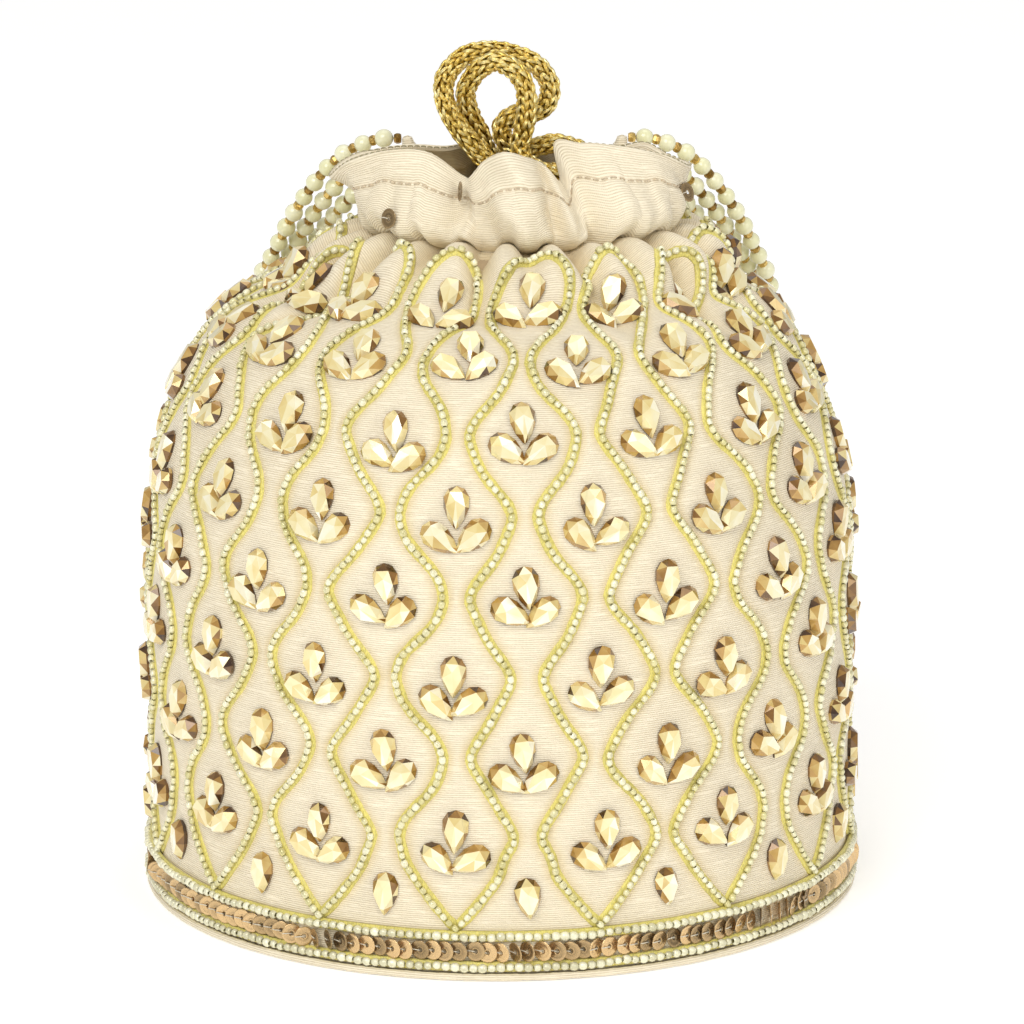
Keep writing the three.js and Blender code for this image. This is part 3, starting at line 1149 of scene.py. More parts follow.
# The middle string's route on the right, from the tab over the shoulder and
# down behind the bag to its lowest point, and at each stop the direction in
# which the outer string lies beside it.
HANDLE_ROUTE = [
    ((28.5, 27, 176.5), (0, 0, 1)),
    ((34, 27.4, 176.2), (0, 0, 1)),
    ((41.3, 30.6, 172.2), (0.4, -0.2, 0.9)),
    ((49.6, 38.5, 162), (0.72, -0.48, 0.5)),
    ((56.2, 48.5, 150), (0.78, -0.6, 0.15)),
    ((61.3, 56.8, 139.5), (0.78, -0.6, -0.2)),
    ((61, 63, 127), (0.72, -0.56, -0.4)),
    ((56.5, 72, 110), (0.66, -0.46, -0.6)),
    ((50, 79, 93), (0.6, -0.35, -0.7)),
    ((40, 85.5, 76), (0.45, -0.2, -0.85)),
    ((26, 90.5, 59.5), (0.25, -0.05, -0.97)),
    ((9, 94, 50), (0, 0, -1)),
]
STRAND_SPACING = 5.25
HANDLE_SHIFT = 4
SPACER_RADIUS = 1.35
SPACER_LENGTH = 1.8
HANDLE_THREAD_RADIUS = 0.3


def handle_stops(strand):
    """One string's stops, from the right tab round behind the bag to the left one."""
    right = []
    left = []
    for at, beside in HANDLE_ROUTE:
        place = np.array(at) + np.array(beside) * strand * STRAND_SPACING
        shift = HANDLE_SHIFT * float(smoothstep(at[2], 100, 150))
        right.append((place[0] + shift, place[1], place[2]))
        left.append((-place[0] + shift, place[1], place[2]))
    return right + left[::-1]


def pearl_shape(radius):
    """A bead with a dimple at each end of its hole."""
    a = np.linspace(-0.44, 0.44, 11) * math.pi
    outline = [(radius * math.cos(t), radius * math.sin(t)) for t in a]
    return turned(outline, 16)


def spacer_shape(radius, length):
    """A small cut bead with flat sides."""
    half = length / 2
    outline = [(radius * 0.4, -half), (radius * 0.8, -half), (radius, -half * 0.35)]
    outline += [(r, -z) for r, z in outline[::-1]]
    return turned(outline, 7)


def random_turns(tangents, draw):
    """Axes with z along each tangent, turned about it at random."""
    side = unit(np.cross(tangents, (0.31, 0.17, 0.93)))
    up = np.cross(tangents, side)
    a = draw.uniform(0, TURN, len(tangents))[:, None]
    side, up = side * np.cos(a) + up * np.sin(a), up * np.cos(a) - side * np.sin(a)
    return np.stack([side, up, tangents], 1)


def pearl_string(route, draw):
    cords = settings().cords
    width = cords.pearl / MM
    count = int((route.length - 2) / (cords.pearl_pitch / MM))
    pitch = (route.length - 2) / count
    places = 1 + pitch * (np.arange(count) + 0.5) + draw.normal(0, 0.12, count)
    centre, _, _, onward = route.at(places)
    sizes = draw.uniform(0.94, 1.04, count)[:, None, None]
    turns = random_turns(onward, draw) * sizes
    pearls = stamped(pearl_shape(width / 2), centre, turns, tint=draw.random(count))
    gaps = np.concatenate([[0.6], (places[:-1] + places[1:]) / 2, [route.length - 0.6]])
    centre, _, _, onward = route.at(gaps)
    turns = random_turns(onward, draw)
    spacers = stamped(spacer_shape(SPACER_RADIUS, SPACER_LENGTH), centre, turns, tint=draw.random(len(gaps)))
    centre, side, up, _ = route.at(np.linspace(0, route.length, round(route.length / 2)))
    return pearls, spacers, swept(centre, side, up, circle(HANDLE_THREAD_RADIUS, 6))


class POTLI_OT_pearl_handle(bpy.types.Operator):
    """Strings the three strands of the handle"""

    bl_idname = "potli.pearl_handle"
    bl_label = "Pearl handle"

    def execute(self, context):
        draw = np.random.default_rng(33)
        for i in range(3):
            name = f"pearl_strand_{i + 1}"
            route = Route(through(handle_stops(i - 1)))
            pearls, spacers, thread = pearl_string(route, draw)
            strung_pearls = joined([pearls, thread])
            string = make_piece(name + "_pearls", strung_pearls, pearl_finish(), "handle", [name])
            gold = make_piece(
                name + "_spacers", spacers, spacer_finish(), "handle", [name], smooth=False
            )
        return {"FINISHED"}


TAB_RINGS = 26
# How square a tab's section is: 1 is round.
TAB_CORNER = 0.42


class POTLI_OT_tabs(bpy.types.Operator):
    """Sews the two silk tabs that hold the handle"""

    bl_idname = "potli.tabs"
    bl_label = "Handle tabs"

    def execute(self, context):
        for name in ("handle_tab_left", "handle_tab_right"):
            low, high = box_mm(name)
            middle = (low + high) / 2
            wide, deep, tall = high - low
            # A folded loop, full at the top, pinched at the stitches and spread at the foot.
            t = np.linspace(0, 1, TAB_RINGS)
            full = 0.5 - 0.10 * bell(t - 0.34, 0.05) - 0.05 * bell(t - 0.62, 0.04)
            full = full * np.minimum(1, (1 - (2 * t - 1) ** 12) ** 0.4 + 0.05)
            slim = 1 - 0.62 * smoothstep(t, 0.5, 0.95)
            ring = circle(1, 40)
            section = np.sign(ring) * np.abs(ring) ** TAB_CORNER
            # The fold shows as a groove down the middle of the front and back.
            section[:, 1] *= 1 - 0.16 * bell(section[:, 0], 0.12)
            rings = section[None] * (full * slim)[:, None, None] * np.array([wide, deep])
            lean = math.copysign(wide * 0.31, middle[0]) * smoothstep(t, 0.5, 0.95)
            centres = np.stack([middle[0] + lean, np.full(TAB_RINGS, middle[1]), low[2] + t * tall * 0.9], 1)
            side = repeated((1, 0, 0), TAB_RINGS)
            up = repeated((0, 1, 0), TAB_RINGS)
            tab = swept(centres, side, up, rings, girth=2 * (wide + deep))
            make_piece(name + "_loop", tab, silk_finish(True), replaces=[name])
        return {"FINISHED"}


# ---- Silk body, frill and lining ----------------------------------------------

BODY_COLUMNS = 480
BODY_GIRTH = TURN * BODY_RADIUS
SILK_FOLD = 1.2


def cloth_skin(lengths, outs):
    """A closed skin of the cloth: the distance up the cloth and out from it at each row."""
    phi = all_round(BODY_COLUMNS)
    rows = lengths[:, None]
    points = cloth_at(phi[None], rows, outs[:, None])
    uv = cloth_uv(girth_steps(BODY_COLUMNS, BODY_GIRTH), lengths)
    skin = grid(points, uv=uv)
    # pucker marks where the cloth is drawn in beside the bead lines and sunk in the gathers; the silk is
    # darkened there as painted shade.
    beside = bell(from_lines(phi[None], rows) - 1, 1.7)
    beside = beside * smoothstep(rows, 10, 20) * (1 - smoothstep(rows, 168, 180))
    sunk = 0.16 * creases(phi[None], rows, side_profile(rows)[0])
    skin.values["pucker"] = np.clip(beside + sunk, 0, 1).ravel()
    return skin


class POTLI_OT_silk_body(bpy.types.Operator):
    """Makes the quilted silk body with its gathered shoulder"""

    bl_idname = "potli.silk_body"
    bl_label = "Silk body"

    def execute(self, context):
        outer = np.concatenate([np.linspace(SHELL_FOOT, 130, 66), np.linspace(131.3, CLOTH_END, 50)])
        inner = np.array([CLOTH_END, 190, 184, 178, 172, 165, 155, 145, 130, 110, 80, 40, SHELL_FOOT])
        rows = np.concatenate([outer, inner])
        outs = np.concatenate([np.zeros(len(outer)), np.full(len(inner), -SILK_FOLD)])
        make_piece("silk_body", cloth_skin(rows, outs), silk_finish(True), replaces=["silk_shell"])
        return {"FINISHED"}


# The frill's hem: the angle at the neck below it in degrees, its place in x, y
# and z, and how far the cloth between the two bulges out.
HEM = [
    (-168, -8, 12, 183, 6),
    (-156, -13, 8.5, 183, 2),
    (-144, -20, 10.5, 183, 2.5),
    (-130, -28, 12, 182, 4),
    (-116, -35, 9.5, 180.5, 4),
    (-100, -39.5, 3.5, 178.5, 4),
    (-84, -40.5, -4, 177.5, 5),
    (-68, -36, -12, 182.5, 9),
    (-52, -26, -19, 186.5, 9),
    (-36, -16, -20.5, 186, 8),
    (-24, -8.5, -19, 180.5, 5),
    (-12, -6, -20, 181, 2),
    (-6, -3.5, -19.5, 184, 6),
    (2, 2, -23.5, 187, 8),
    (9, 7.5, -20.5, 185, 7),
    (14, 9, -15, 183.5, 3),
    (18, 11.5, -18, 182.5, 6),
    (24, 15, -15.5, 179, 6),
    (28, 13.5, -11, 186, 2),
    (36, 20, -14, 187.5, 6.5),
    (48, 29, -16, 187, 8),
    (62, 39, -13.5, 184.5, 8),
    (78, 46, -6, 180, 6),
    (90, 46.5, 1.5, 179, 5),
    (104, 42, 8, 180, 4),
    (118, 35.5, 12.5, 182.5, 3.5),
    (130, 27.5, 11, 182, 2.5),
    (140, 22, 14, 182, 3),
    (155, 13, 16, 182.5, 6),
    (166, 7, 12, 181.5, 2),
    (178, 0, 15, 181.5, 6),
]
HEM_BAND = 6.5
FRILL_HEIGHT = 21
FRILL_COLUMNS = 520
# Runs of rows up the frill: from, to and how many. Below 0 it is hidden in the neck.
FRILL_ROWS = [(-0.2, -0.1, 2), (-0.04, 0.18, 10), (0.22, 0.6, 12), (0.63, 1, 17)]
FRILL_GIRTH = BODY_GIRTH / 2

# Where the frill is tucked in sharply from neck to hem: degrees and half width.
TUCKS = [
    (-156, 5),
    (-118, 4),
    (-88, 5),
    (-24, 4.5),
    (12, 4),
    (25, 3.5),
    (92, 5),
    (118, 4),
    (166, 5),
]


def frill_at(phi, t):
    """The frill's outer face, from the neck at t 0 to the hem at t 1."""
    phi, t = np.broadcast_arrays(np.asarray(phi, float), np.asarray(t, float))
    hem = round_spline([h[0] for h in HEM], [h[1:] for h in HEM], phi)
    neck = cloth_at(phi, CLOTH_END)
    lean = np.clip(t, 0, 1)[..., None] ** 2.4
    level = neck[..., :2] * (1 - lean) + hem[..., :2] * lean
    z = neck[..., 2] + (hem[..., 2] - neck[..., 2]) * t
    outward = unit(np.stack([np.sin(phi), -np.cos(phi)], -1))
    gathers = 0.8 * np.sin(31 * phi + 1.2) + 0.5 * np.sin(47 * phi + 2 * t)
    gathers = gathers + 0.7 * np.sin(13 * phi - 3 * t)
    fine = gathers * np.clip(1 - t, 0, 1) ** 2.2 * smoothstep(t, -0.05, 0.12)
    slack = 0.9 * np.sin(7 * t + 9 * phi + 2 * np.sin(5 * phi)) * np.sin(math.pi * np.clip(t, 0, 1))
    full = hem[..., 3] * 1.15 * np.sin(math.pi * np.clip(t, 0, 1) ** 0.62)
    for degrees, width in TUCKS:
        tuck = bell(wrapped(phi - math.radians(degrees)), math.radians(width))
        full = full * (1 - 0.92 * tuck * smoothstep(t, 0.08, 0.42))
    # Below the neck it is tucked in behind the shoulder.
    push = full + fine + slack + 9 * np.minimum(t, 0)
    return np.concatenate([level + outward * push[..., None], z[..., None]], -1)


def facing(points):
    """The outward direction at each point of a skin whose columns go all the way round."""
    around = np.roll(points, -1, 1) - np.roll(points, 1, 1)
    return unit(np.cross(around, np.gradient(points, axis=0)))


# Loose sequins caught on the frill: degrees round, height up the frill, and how far each has tipped.
FRILL_SEQUINS = [(-47, 0.34, 15), (-28, 0.74, 70), (76, 0.56, -48)]


class POTLI_OT_frill(bpy.types.Operator):
    """Makes the frill above the neck, with its turned and stitched hem"""

    bl_idname = "potli.frill"
    bl_label = "Frill"

    def execute(self, context):
        thickness = settings().cloth.thickness / MM
        phi = all_round(FRILL_COLUMNS)
        t = np.concatenate([np.linspace(*run) for run in FRILL_ROWS])
        outer = frill_at(phi[None], t[:, None])
        out = facing(outer)
        below_hem = (1 - t) * FRILL_HEIGHT
        seam = bell(below_hem - HEM_BAND, 0.6)
        band = smoothstep(-below_hem, -HEM_BAND, -HEM_BAND + 1)
        outer = outer + out * (0.25 * band - 0.45 * seam)[:, None, None]
        thick = (thickness + 0.6 * band)[:, None, None]
        inner = outer - out * thick
        up = unit(outer[-1] - outer[-2])
        edge = [
            outer[-1] - out[-1] * thick[-1] * (1 - math.cos(a)) / 2 + up * thick[-1] * math.sin(a) / 2
            for a in (math.radians(50), math.radians(90), math.radians(130))
        ]
        points = np.concatenate([outer, np.array(edge), inner[::-1]])
        lengths = CLOTH_END + np.concatenate([t, [1.01, 1.03, 1.05], 2.06 - t[::-1]]) * FRILL_HEIGHT
        uv = cloth_uv(girth_steps(FRILL_COLUMNS, FRILL_GIRTH), lengths)
        skin = grid(points, uv=uv)
        make_piece("frill", skin, silk_finish(True), replaces=["silk_shell"])

        band_foot = 1 - HEM_BAND / FRILL_HEIGHT
        line = frill_at(phi, band_foot)
        near = frill_at(phi[None], np.array([[0.66], [band_foot], [0.72]]))
        stitches = sewn_line(line, facing(near)[1], pitch=2.3, length=1.5, thickness=0.16)
        thread = thread_finish("silk_thread", (0.74, 0.6, 0.42))
        make_piece("frill_stitches", stitches, thread, replaces=["silk_shell"])
        crest = points[len(t) + 1]
        overlock = sewn_line(crest, unit(up + 0.4 * out[-1]), pitch=1.7, length=1.45, thickness=0.2)
        thread = thread_finish("hem_thread", (0.42, 0.36, 0.2))
        make_piece("hem_thread", overlock, thread, replaces=["silk_shell"])
        self.sequins()
        return {"FINISHED"}

    def sequins(self):
        """Sews the loose sequins on, each by one stitch."""
        degrees, t, tipped = np.array(FRILL_SEQUINS).T
        phi = np.radians(degrees)
        across = unit(frill_at(phi + 0.01, t) - frill_at(phi - 0.01, t))
        up = unit(frill_at(phi, t + 0.01) - frill_at(phi, t - 0.01))
        out = unit(np.cross(across, up))
        tip = np.radians(tipped)[:, None]
        face = out * np.cos(tip) + across * np.sin(tip)
        side = unit(np.cross(up, face))
        axes = np.stack([side, np.cross(face, side), face], 1)
        centres = frill_at(phi, t) + out * (0.5 + 1.9 * np.abs(np.sin(tip)))
        sewn_sequins("frill", centres, axes, np.array([0.05, 0.0, 0.15]))


def sewn_line(line, out, pitch, length, thickness):
    """Short stitches along a closed line that lies on cloth."""
    closed = np.vstack([line, line[:1]])
    faces_out = np.vstack([out, out[:1]])
    reach = reaches(closed)
    count = round(reach[-1] / pitch)
    places = (np.arange(count)[:, None] + np.linspace(0, length / pitch, 5)[None]) * reach[-1] / count
    places = places % reach[-1]
    arched = np.array([-0.25, 0.02, 0.1, 0.02, -0.25])
    normals = unit(read_along(places, reach, faces_out))
    centres = read_along(places, reach, closed) + normals * arched[None, :, None]
    stitches = []
    for centre, normal in zip(centres, normals):
        onward = unit(np.gradient(centre, axis=0))
        side = unit(np.cross(normal, onward))
        stitches.append(swept(centre, side, np.cross(onward, side), circle(thickness, 5)))
    return joined(stitches)


class POTLI_OT_lining(bpy.types.Operator):
    """Makes the lining bag and its gathered throat"""

    bl_idname = "potli.lining"
    bl_label = "Lining"

    def execute(self, context):
        columns = 240
        phi = all_round(columns)
        foot = box_mm("lining")[0][2]
        wall = 0.8
        clear = 2.1
        # How far up the cloth each row of the side lies
        cloth_stops = [8, 30, 60, 90, 115, 135, 150, 160, 168, 176]

        def level(radius, z, pleat=0.0):
            r = radius + pleat * np.sin(24 * phi)
            return gathered(phi, r, np.full(columns, float(z)))

        # Up the outside from the middle of the foot, round the throat and down the inside
        rows = [level(r, foot) for r in (0.5, 30, 60, BODY_RADIUS - 3.4)]
        rows += [cloth_at(phi, s, -clear) for s in cloth_stops]
        rows += [level(30, 162, 0.3), level(18.3, 162, 0.6), level(18.3, 168, 0.9), level(18.3, 173.6, 1.0)]
        rows += [level(17.6, 174), level(16.4, 174, 0.6), level(16, 173.4, 0.9), level(15.8, 167, 0.8)]
        rows += [level(15.8, 162, 0.5), level(16.6, 161.2, 0.5), level(30, 161.2, 0.3)]
        rows += [cloth_at(phi, s, -clear - wall) for s in cloth_stops[::-1]]
        rows += [level(r, foot + wall) for r in (BODY_RADIUS - 4.2, 60, 30, 0.5)]
        uv = cloth_uv(girth_steps(columns, BODY_GIRTH), np.linspace(0, 560, len(rows)))
        make_piece("lining_bag", grid(np.array(rows), uv=uv), lining_finish(), replaces=["lining"])
        return {"FINISHED"}


# ---- Base and rim -----------------------------------------------------------


class POTLI_OT_base(bpy.types.Operator):
    """Finishes the underside and makes the piping round it"""

    bl_idname = "potli.base"
    bl_label = "Base"

    def execute(self, context):
        finishes = [("base_panel", silk_finish(False), "silk"), ("base_board", card_finish(), "card")]
        for node, material, slot in finishes:
            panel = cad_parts[node]
            panel.data.materials.clear()
            panel.data.materials.append(material)
        low, high = box_mm("base_piping")
        thick = high[2] - low[2]
        radius = high[0] - thick / 2
        count, sides = 720, 10
        a = all_round(count)
        out = away_from_middle(a)
        up = repeated((0, 0, 1), count)
        # The bias strip puckers a little between its stitches.
        pucker = 1 + 0.05 * np.sin(a * 190) + 0.04 * np.sin(a * 47 + 1)
        section = circle(thick / 2, sides)[None] * pucker[:, None, None] * 0.97
        centres = out * radius + up * (low[2] + thick / 2)
        piping = swept(centres, up, out, section, closed=True)
        piping.faces = piping.faces[:, ::-1]
        around = girth_steps(count, TURN * radius * MM)
        girth = girth_steps(sides, TURN * thick / 2 * MM)
        corner = np.stack(np.meshgrid(around, girth, indexing="ij"), -1)
        r, c = (g.ravel() for g in np.meshgrid(np.arange(count), np.arange(sides), indexing="ij"))
        piping.uv = np.stack([corner[r + 1, c], corner[r + 1, c + 1], corner[r, c + 1], corner[r, c]], 1)
        make_piece("piping", piping, silk_finish(True), replaces=["base_piping"])
        return {"FINISHED"}


def cut_bead(width, length):
    """A short glass tube with a hole. Its hole, its ends and the hole seen through its face are marked for
    painted shade.
    """
    outer, half = width / 2, length / 2
    outline = [(outer * 0.4, -half * 0.84), (outer * 0.68, -half), (outer, -half * 0.34)]
    outline += [(r, -z) for r, z in outline[::-1]]
    sides = 7
    bead = turned(outline, sides)
    row = np.repeat(np.arange(len(outline)), sides)
    facet = np.tile(np.arange(sides), len(outline))
    hole = np.isin(row, (0, 5)) * 1.0
    # Facet 2 points out of the cloth; down its middle the hole behind it is painted in as a dark streak,
    # painted shade.
    hole_shade_seen = np.isin(row, (2, 3)) * (facet == 2) * 0.5
    bead.values["core"] = np.maximum(hole, hole_shade_seen)
    return bead


def strung(points, out, width, pitch, draw, lift):
    """Beads along a line on the cloth, with their holes along it."""
    count = len(points)
    onward = unit(np.gradient(points, axis=0))
    side = unit(np.cross(out, onward))
    up = np.cross(onward, side)
    wobble = draw.normal(0, 0.09, (count, 3))
    onward = unit(onward + wobble)
    side = unit(np.cross(up, onward))
    axes = np.stack([side, np.cross(onward, side), onward], 1)
    sizes = draw.uniform(0.86, 1.08, count)[:, None, None]
    centres = points + up * (lift + draw.normal(0, 0.07, (count, 1)))
    centres = centres + side * draw.normal(0, 0.06, (count, 1))
    beads = stamped(cut_bead(width, pitch * 0.93), centres, axes * sizes, tint=draw.random(count))
    # Each bead's painted shade is deeper or fainter at random.
    beads.values["core"] *= np.repeat(draw.uniform(0.1, 1.0, count), len(beads.points) // count)
    beads.values["core"] = np.clip(beads.values["core"], 0, 1)
    return beads


class POTLI_OT_rim(bpy.types.Operator):
    """Sews the rim's two rows of beads and the sequins between them"""

    bl_idname = "potli.rim"
    bl_label = "Rim"

    def execute(self, context):
        draw = np.random.default_rng(5)
        trim = settings().trim
        width = trim.rim_bead / MM
        for name in ("rim_bead_row_lower", "rim_bead_row_upper"):
            low, high = box_mm(name)
            radius = high[0] - (high[2] - low[2]) / 2
            height = (low[2] + high[2]) / 2
            count = round(TURN * radius / (width * 1.06))
            a = all_round(count)
            out = away_from_middle(a)
            sag = 0.12 * np.sin(a * 23) + 0.1 * np.sin(a * 41 + 1)
            points = out * radius + (height + sag)[:, None] * np.array([0, 0, 1])
            # The wobble of a closed row uses the next bead round, so its ends are joined first.
            looped = np.vstack([points, points[:1]])
            facing_out = np.vstack([out, out[:1]])
            beads = strung(looped, facing_out, width, width * 1.06, draw, 0)
            kept = len(beads.points) // (count + 1) * count
            faces = beads.faces[: len(beads.faces) // (count + 1) * count]
            row = Shape(beads.points[:kept], faces)
            row.values = {key: value[:kept] for key, value in beads.values.items()}
            glass = bead_finish("rim_bead", (0.86, 0.82, 0.55))
            make_piece(name + "_beads", row, glass, replaces=[name])
            up = repeated((0, 0, 1), count)
            line = out * (radius - width * 0.42) + up * height
            couching = swept(line, up, out, circle(1, 8) * (1.35, 0.5), closed=True)
            couching.faces = couching.faces[:, ::-1]
            thread = thread_finish("trail_thread", tuple(trim.thread))
            make_piece(name + "_thread", couching, thread, replaces=[name])
        self.sequins(draw)
        return {"FINISHED"}

    def sequins(self, draw):
        """Sequins overlap like shingles; here and there a few stand on edge."""
        trim = settings().trim
        low, high = box_mm("sequin_band")
        height = (low[2] + high[2]) / 2
        radius = BODY_RADIUS + 1.15
        count = round(TURN * radius / (trim.sequin_pitch / MM))
        a = all_round(count) + draw.normal(0, 0.0035, count)
        out = away_from_middle(a)
        around = away_from_middle(a + TURN / 4)
        up = repeated((0, 0, 1), count)
        lean = np.radians(15 + draw.normal(0, 3, count))
        # Each clump of tighter sequins is pushed up towards its edge.
        clump = np.clip(np.sin(a * 9 + 0.4) + 0.35 * np.sin(a * 23 + 1), 0, 1) ** 2
        lean = lean + np.radians(30) * clump
        flip = np.where(np.sin(a * 4 + 2.2) > 0, 1, -1)
        lean = (lean * flip)[:, None]
        nod = np.radians(draw.normal(0, 4, count))[:, None]
        side = around * np.cos(lean) + out * np.sin(lean)
        face = out * np.cos(lean) - around * np.sin(lean)
        face = unit(face + up * np.sin(nod))
        tall = unit(np.cross(face, side))
        axes = np.stack([np.cross(tall, face), tall, face], 1)
        centres = out * (radius + 0.25 * clump[:, None]) + up * height
        centres = centres + up * draw.normal(0, 0.14, (count, 1))
        sewn_sequins("rim", centres, axes, draw.random(count), replaces=["sequin_band"])


def sequin_shape(radius):
    """A thin cupped disc with a hole and a pressed ring."""
    stops = [0.2, 0.34, 0.42, 0.68, 0.92, 1.0]
    dish = [0.10, 0.16, 0.08, 0.12, 0.2, 0.12]
    thin = 0.07
    top = [(radius * r, z) for r, z in zip(stops, dish)]
    under = [(radius * r, z - thin) for r, z in zip(stops[::-1], dish[::-1])]
    sides = 16
    disc = turned(under[::-1] + top[::-1], sides)
    # ring marks the pressed ridges, which the sequins' finish paints lighter as a painted highlight and also
    # raises by bump.
    ring = [0.1, 1, 0.2, 0.7, 1, 0.6]
    disc.values["ring"] = np.repeat(ring + ring[::-1], sides)
    return disc


def sequin_stitch():
    """The stitch from a sequin's hole over its edge."""
    t = np.linspace(0, 1, 6)
    centres = np.stack([-2.3 * t, 0.12 * np.sin(3 * t), 0.3 + 0.16 * np.sin(math.pi * t) - 0.22 * t**6], 1)
    side = repeated((0, 1, 0), len(t))
    onward = unit(np.gradient(centres, axis=0))
    return swept(centres, side, np.cross(onward, side), circle(0.13, 5))


def sewn_sequins(place, centres, axes, tint, replaces=()):
    """Makes the sequins of one place, each held by one stitch."""
    discs = stamped(sequin_shape(settings().trim.sequin / MM / 2), centres, axes, tint=tint)
    make_piece(place + "_sequins", discs, sequin_finish(), replaces=replaces)
    stitches = stamped(sequin_stitch(), centres, axes)
    thread = thread_finish("pale_thread", (0.8, 0.74, 0.6))
    make_piece(place + "_sequin_stitches", stitches, thread, replaces=replaces)


# ---- Bead trails and stones -------------------------------------------------


def trail_line(column, side):
    """Angles and distances up the cloth of one bead line, from its foot to the top of its arch."""
    s = np.linspace(TRAIL_TIP, ARCH_START, 260)
    reach = trail_reach(s, column, side)
    a = np.linspace(0, math.pi / 2, 30)[1:]
    top = BODY_RADIUS * COLUMN_ANGLE / 2
    s = np.concatenate([s, ARCH_START + ARCH_RISE * np.sin(a)])
    reach = np.concatenate([reach, top - (top - reach[-1]) * np.cos(a)])
    return FIRST_COLUMN + column * COLUMN_ANGLE + side * reach / BODY_RADIUS, s


def spaced_on_cloth(phi, s, step):
    """Evenly spaced points of a line on the cloth, as angles and distances up."""
    reach = reaches(cloth_at(phi, s))
    stops = np.linspace(0, reach[-1], round(reach[-1] / step) + 1)
    return np.interp(stops, reach, phi), np.interp(stops, reach, s)


# Half of the satin cord's section, from its foot to its top.
CORD_SIDE = [(1.55, -0.15), (1.3, 0.4), (0.5, 0.6)]
BEAD_PITCH = 1.95
CORD_STEP = 1.6


class POTLI_OT_trails(bpy.types.Operator):
    """Sews the looped bead lines, each on its yellow satin cord"""

    bl_idname = "potli.trails"
    bl_label = "Bead lines"

    def execute(self, context):
        trim = settings().trim
        width = trim.trail_bead / MM
        section = np.array(CORD_SIDE + [(-x, y) for x, y in CORD_SIDE[::-1]])
        thread = thread_finish("trail_thread", tuple(trim.thread))
        glass = bead_finish("trail_bead", tuple(trim.bead))
        for column in range(COLUMNS):
            draw = np.random.default_rng(100 + column)
            name = f"bead_trail_{column + 1:02d}"
            beads = []
            cords = []
            for side in (-1, 1):
                line = trail_line(column, side)
                phi, s = spaced_on_cloth(*line, BEAD_PITCH)
                points, _, _, out = cloth_frame(phi, s)
                # The two lines share the bead at their tip.
                inset = slice(1, None) if side > 0 else slice(None)
                beads.append(strung(points[inset], out[inset], width, BEAD_PITCH, draw, width * 0.5 + 0.3))
                phi, s = spaced_on_cloth(*line, CORD_STEP)
                points, _, _, out = cloth_frame(phi, s)
                onward = unit(np.gradient(points, axis=0))
                across = unit(np.cross(out, onward))
                rough = draw.uniform(0.9, 1.08, (len(points), 1, 1))
                cords.append(swept(points, across, out, section[None] * rough))
            make_piece(name + "_beads", joined(beads), glass, replaces=[name])
            make_piece(name + "_cord", joined(cords), thread, replaces=[name])
        return {"FINISHED"}


def stone_shape(length, width, height):
    """A pear-shaped cut stone, tip towards -y, and for each point the facet that it belongs to."""
    count = 12
    t = all_round(count)

    def pear(a, scale, z):
        wide = width / 2 / 0.796
        x = wide * np.sin(a) * np.abs(np.sin(a / 2)) ** 0.8
        y = -length / 2 * np.cos(a)
        return np.stack([x * scale, y * scale + (1 - scale) * length * 0.06, np.full(len(a), z)], 1)

    foot = pear(t, 0.93, -0.3)
    girdle = pear(t, 1.0, 0.55)
    # The crown's six corners stand over every other point of the girdle.
    table = pear(t[1::2], 0.76, height)
    facets = []
    base = []

    def facet(points, shade):
        facets.append(points)
        base.append(shade)

    # Each facet's shade is a painted reflection: dark on the walls, mixed on the crown and pale on the table.
    for i in range(count):
        j = (i + 1) % count
        facet([foot[j], foot[i], girdle[i], girdle[j]], 0.05)
    around = [0.5, 0.28, 0.16, 0.16, 0.28, 0.5]
    for k in range(6):
        first, middle, last = (2 * k) % count, (2 * k + 1) % count, (2 * k + 2) % count
        facet([table[k], girdle[middle], girdle[first]], around[k])
        facet([table[k], girdle[last], girdle[middle]], around[k] + 0.14)
        facet([table[k], table[(k + 1) % 6], girdle[last]], around[k] + 0.3)
    # The table is cut in six by faint edges that meet near the head.
    high = pear(np.array([math.pi]), 0.2, height + 0.1)[0]
    for k in range(6):
        facet([high, table[(k + 1) % 6], table[k]], 0.84 if k in (0, 5, 1) else 0.72)
    points = []
    faces = []
    owner = []
    for number, corners in enumerate(facets):
        start = len(points)
        points.extend(corners)
        owner.extend([number] * len(corners))
        faces.append([start + i for i in range(len(corners))] + [-1] * (4 - len(corners)))
    bottom = len(points)
    points.extend(foot)
    owner.extend([0] * count)
    for i in range(1, count - 1):
        faces.append([bottom, bottom + i + 1, bottom + i, -1])
    return Shape(points, faces), np.array(base), np.array(owner)


# A sprig of three stones: each one's centre across and up, and its lean.
SPRIG = [(0, 2.2, 0), (-3.7, -4.4, 52), (3.7, -4.4, -52)]
SINGLE_STONE = 20.3


def sprigs(draw):
    """Every stone's angle, distance up the cloth and lean in degrees."""
    found = []
    for k in range(2 * COLUMNS):
        centre = FIRST_COLUMN + k * COLUMN_ANGLE / 2
        raised = MOTIF_RISE / 2 if k % 2 else 0
        if raised:
            found.append((centre, SINGLE_STONE, draw.normal(0, 4)))
        for motif in range(4):
            s0 = FIRST_MOTIF + raised + MOTIF_RISE * motif + draw.normal(0, 0.8)
            aside = draw.normal(0, 0.6)
            turn = draw.normal(0, 5)
            for x, y, lean in SPRIG:
                x = x + aside + draw.normal(0, 0.2)
                y = y + draw.normal(0, 0.25)
                s = min(s0 + y, CLOTH_END - 7)
                radius = max(side_profile(s)[0], 30)
                found.append((centre + x / radius, s, lean + turn + draw.normal(0, 4)))
    return np.array(found)


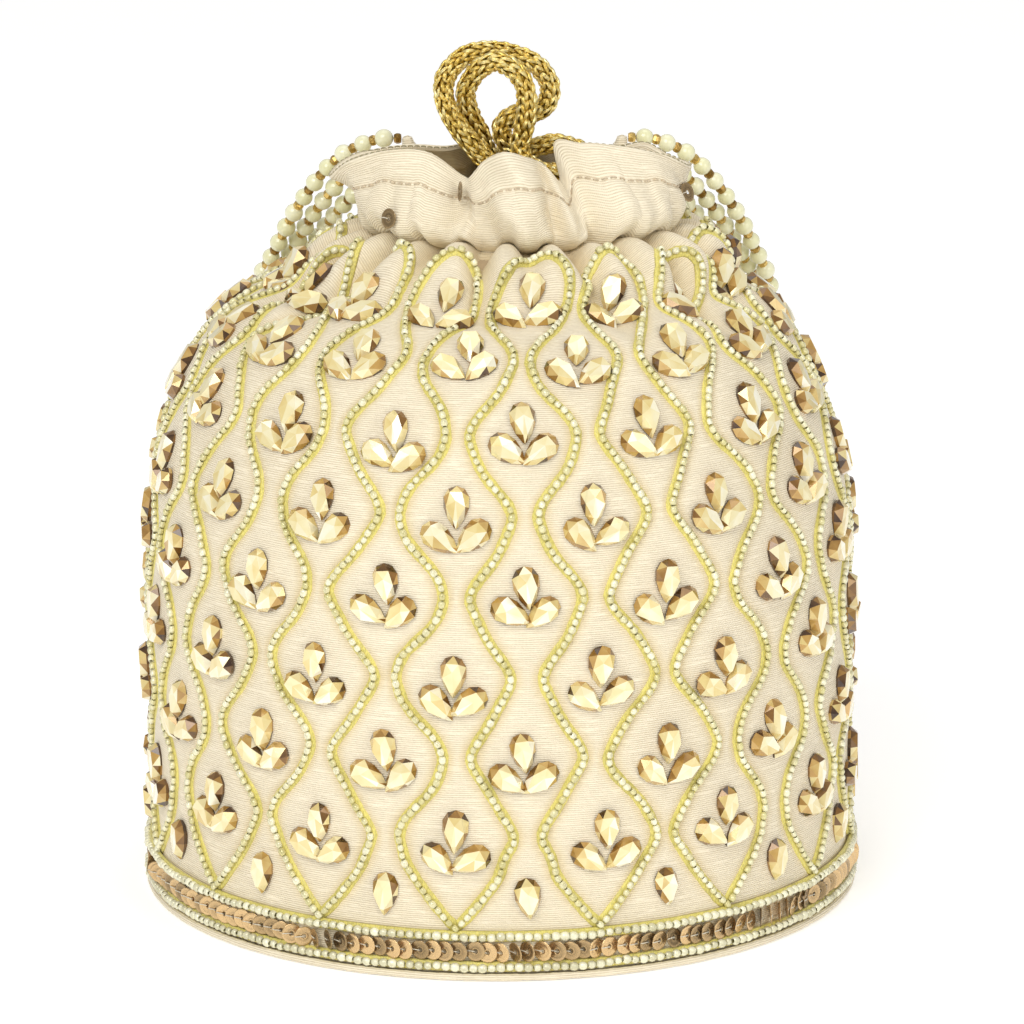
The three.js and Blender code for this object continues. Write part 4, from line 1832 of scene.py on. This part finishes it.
class POTLI_OT_stones(bpy.types.Operator):
    """Sets the sprigs of pear-shaped stones"""

    bl_idname = "potli.stones"
    bl_label = "Stones"

    def execute(self, context):
        draw = np.random.default_rng(64)
        trim = settings().trim
        sizes = (trim.stone_length / MM, trim.stone_width / MM, trim.stone_height / MM)
        shape, base, owner = stone_shape(*sizes)
        phi, s, lean = sprigs(draw).T
        points, across, up, out = cloth_frame(phi, s)
        a = np.radians(lean)[:, None]
        side, tall = across * np.cos(a) + up * np.sin(a), up * np.cos(a) - across * np.sin(a)
        out = unit(out + draw.normal(0, 0.05, out.shape))
        side = unit(side - out * (side * out).sum(1, keepdims=True))
        tall = np.cross(out, side)
        sizes = draw.uniform(0.95, 1.04, len(phi))[:, None, None]
        stones = stamped(shape, points, np.stack([side, tall, out], 1) * sizes)
        # Each stone's painted reflections differ a little from facet to facet, least on the table.
        jitter = draw.normal(0, 0.2, (len(phi), len(base)))
        table = base > 0.7
        jitter[:, table] *= 0.45
        stones.values["shade"] = np.clip(base[None] + jitter, 0.02, 1)[:, owner].ravel()
        make_piece("stones", stones, stone_finish(), smooth=False)
        return {"FINISHED"}


# ---- Panel and running ------------------------------------------------------

OPERATORS = [
    POTLI_OT_stage,
    POTLI_OT_drawstrings,
    POTLI_OT_pearl_handle,
    POTLI_OT_tabs,
    POTLI_OT_silk_body,
    POTLI_OT_frill,
    POTLI_OT_lining,
    POTLI_OT_base,
    POTLI_OT_rim,
    POTLI_OT_trails,
    POTLI_OT_stones,
]


class POTLI_PT_pieces(bpy.types.Panel):
    """Lists the bag's pieces in the order they are made"""

    bl_label = "Potli Bag"
    bl_space_type = "VIEW_3D"
    bl_region_type = "UI"
    bl_category = "Potli"

    def draw(self, context):
        for operator in OPERATORS:
            self.layout.operator(operator.bl_idname)
        potli = context.scene.potli
        for group in (potli.cloth, potli.trim, potli.cords, potli.studio):
            box = self.layout.box()
            for key in group.bl_rna.properties.keys():
                if key not in ("rna_type", "name"):
                    box.prop(group, key)


GROUPS = [ClothSettings, TrimSettings, CordSettings, StudioSettings, PotliSettings]
CLASSES = [*GROUPS, *OPERATORS, POTLI_PT_pieces]


def register():
    for item in CLASSES:
        bpy.utils.register_class(item)
    bpy.types.Scene.potli = PointerProperty(type=PotliSettings)


def unregister():
    del bpy.types.Scene.potli
    for item in reversed(CLASSES):
        bpy.utils.unregister_class(item)


def main():
    register()
    for operator in OPERATORS:
        group, name = operator.bl_idname.split(".")
        getattr(getattr(bpy.ops, group), name)()


if __name__ == "__main__":
    main()
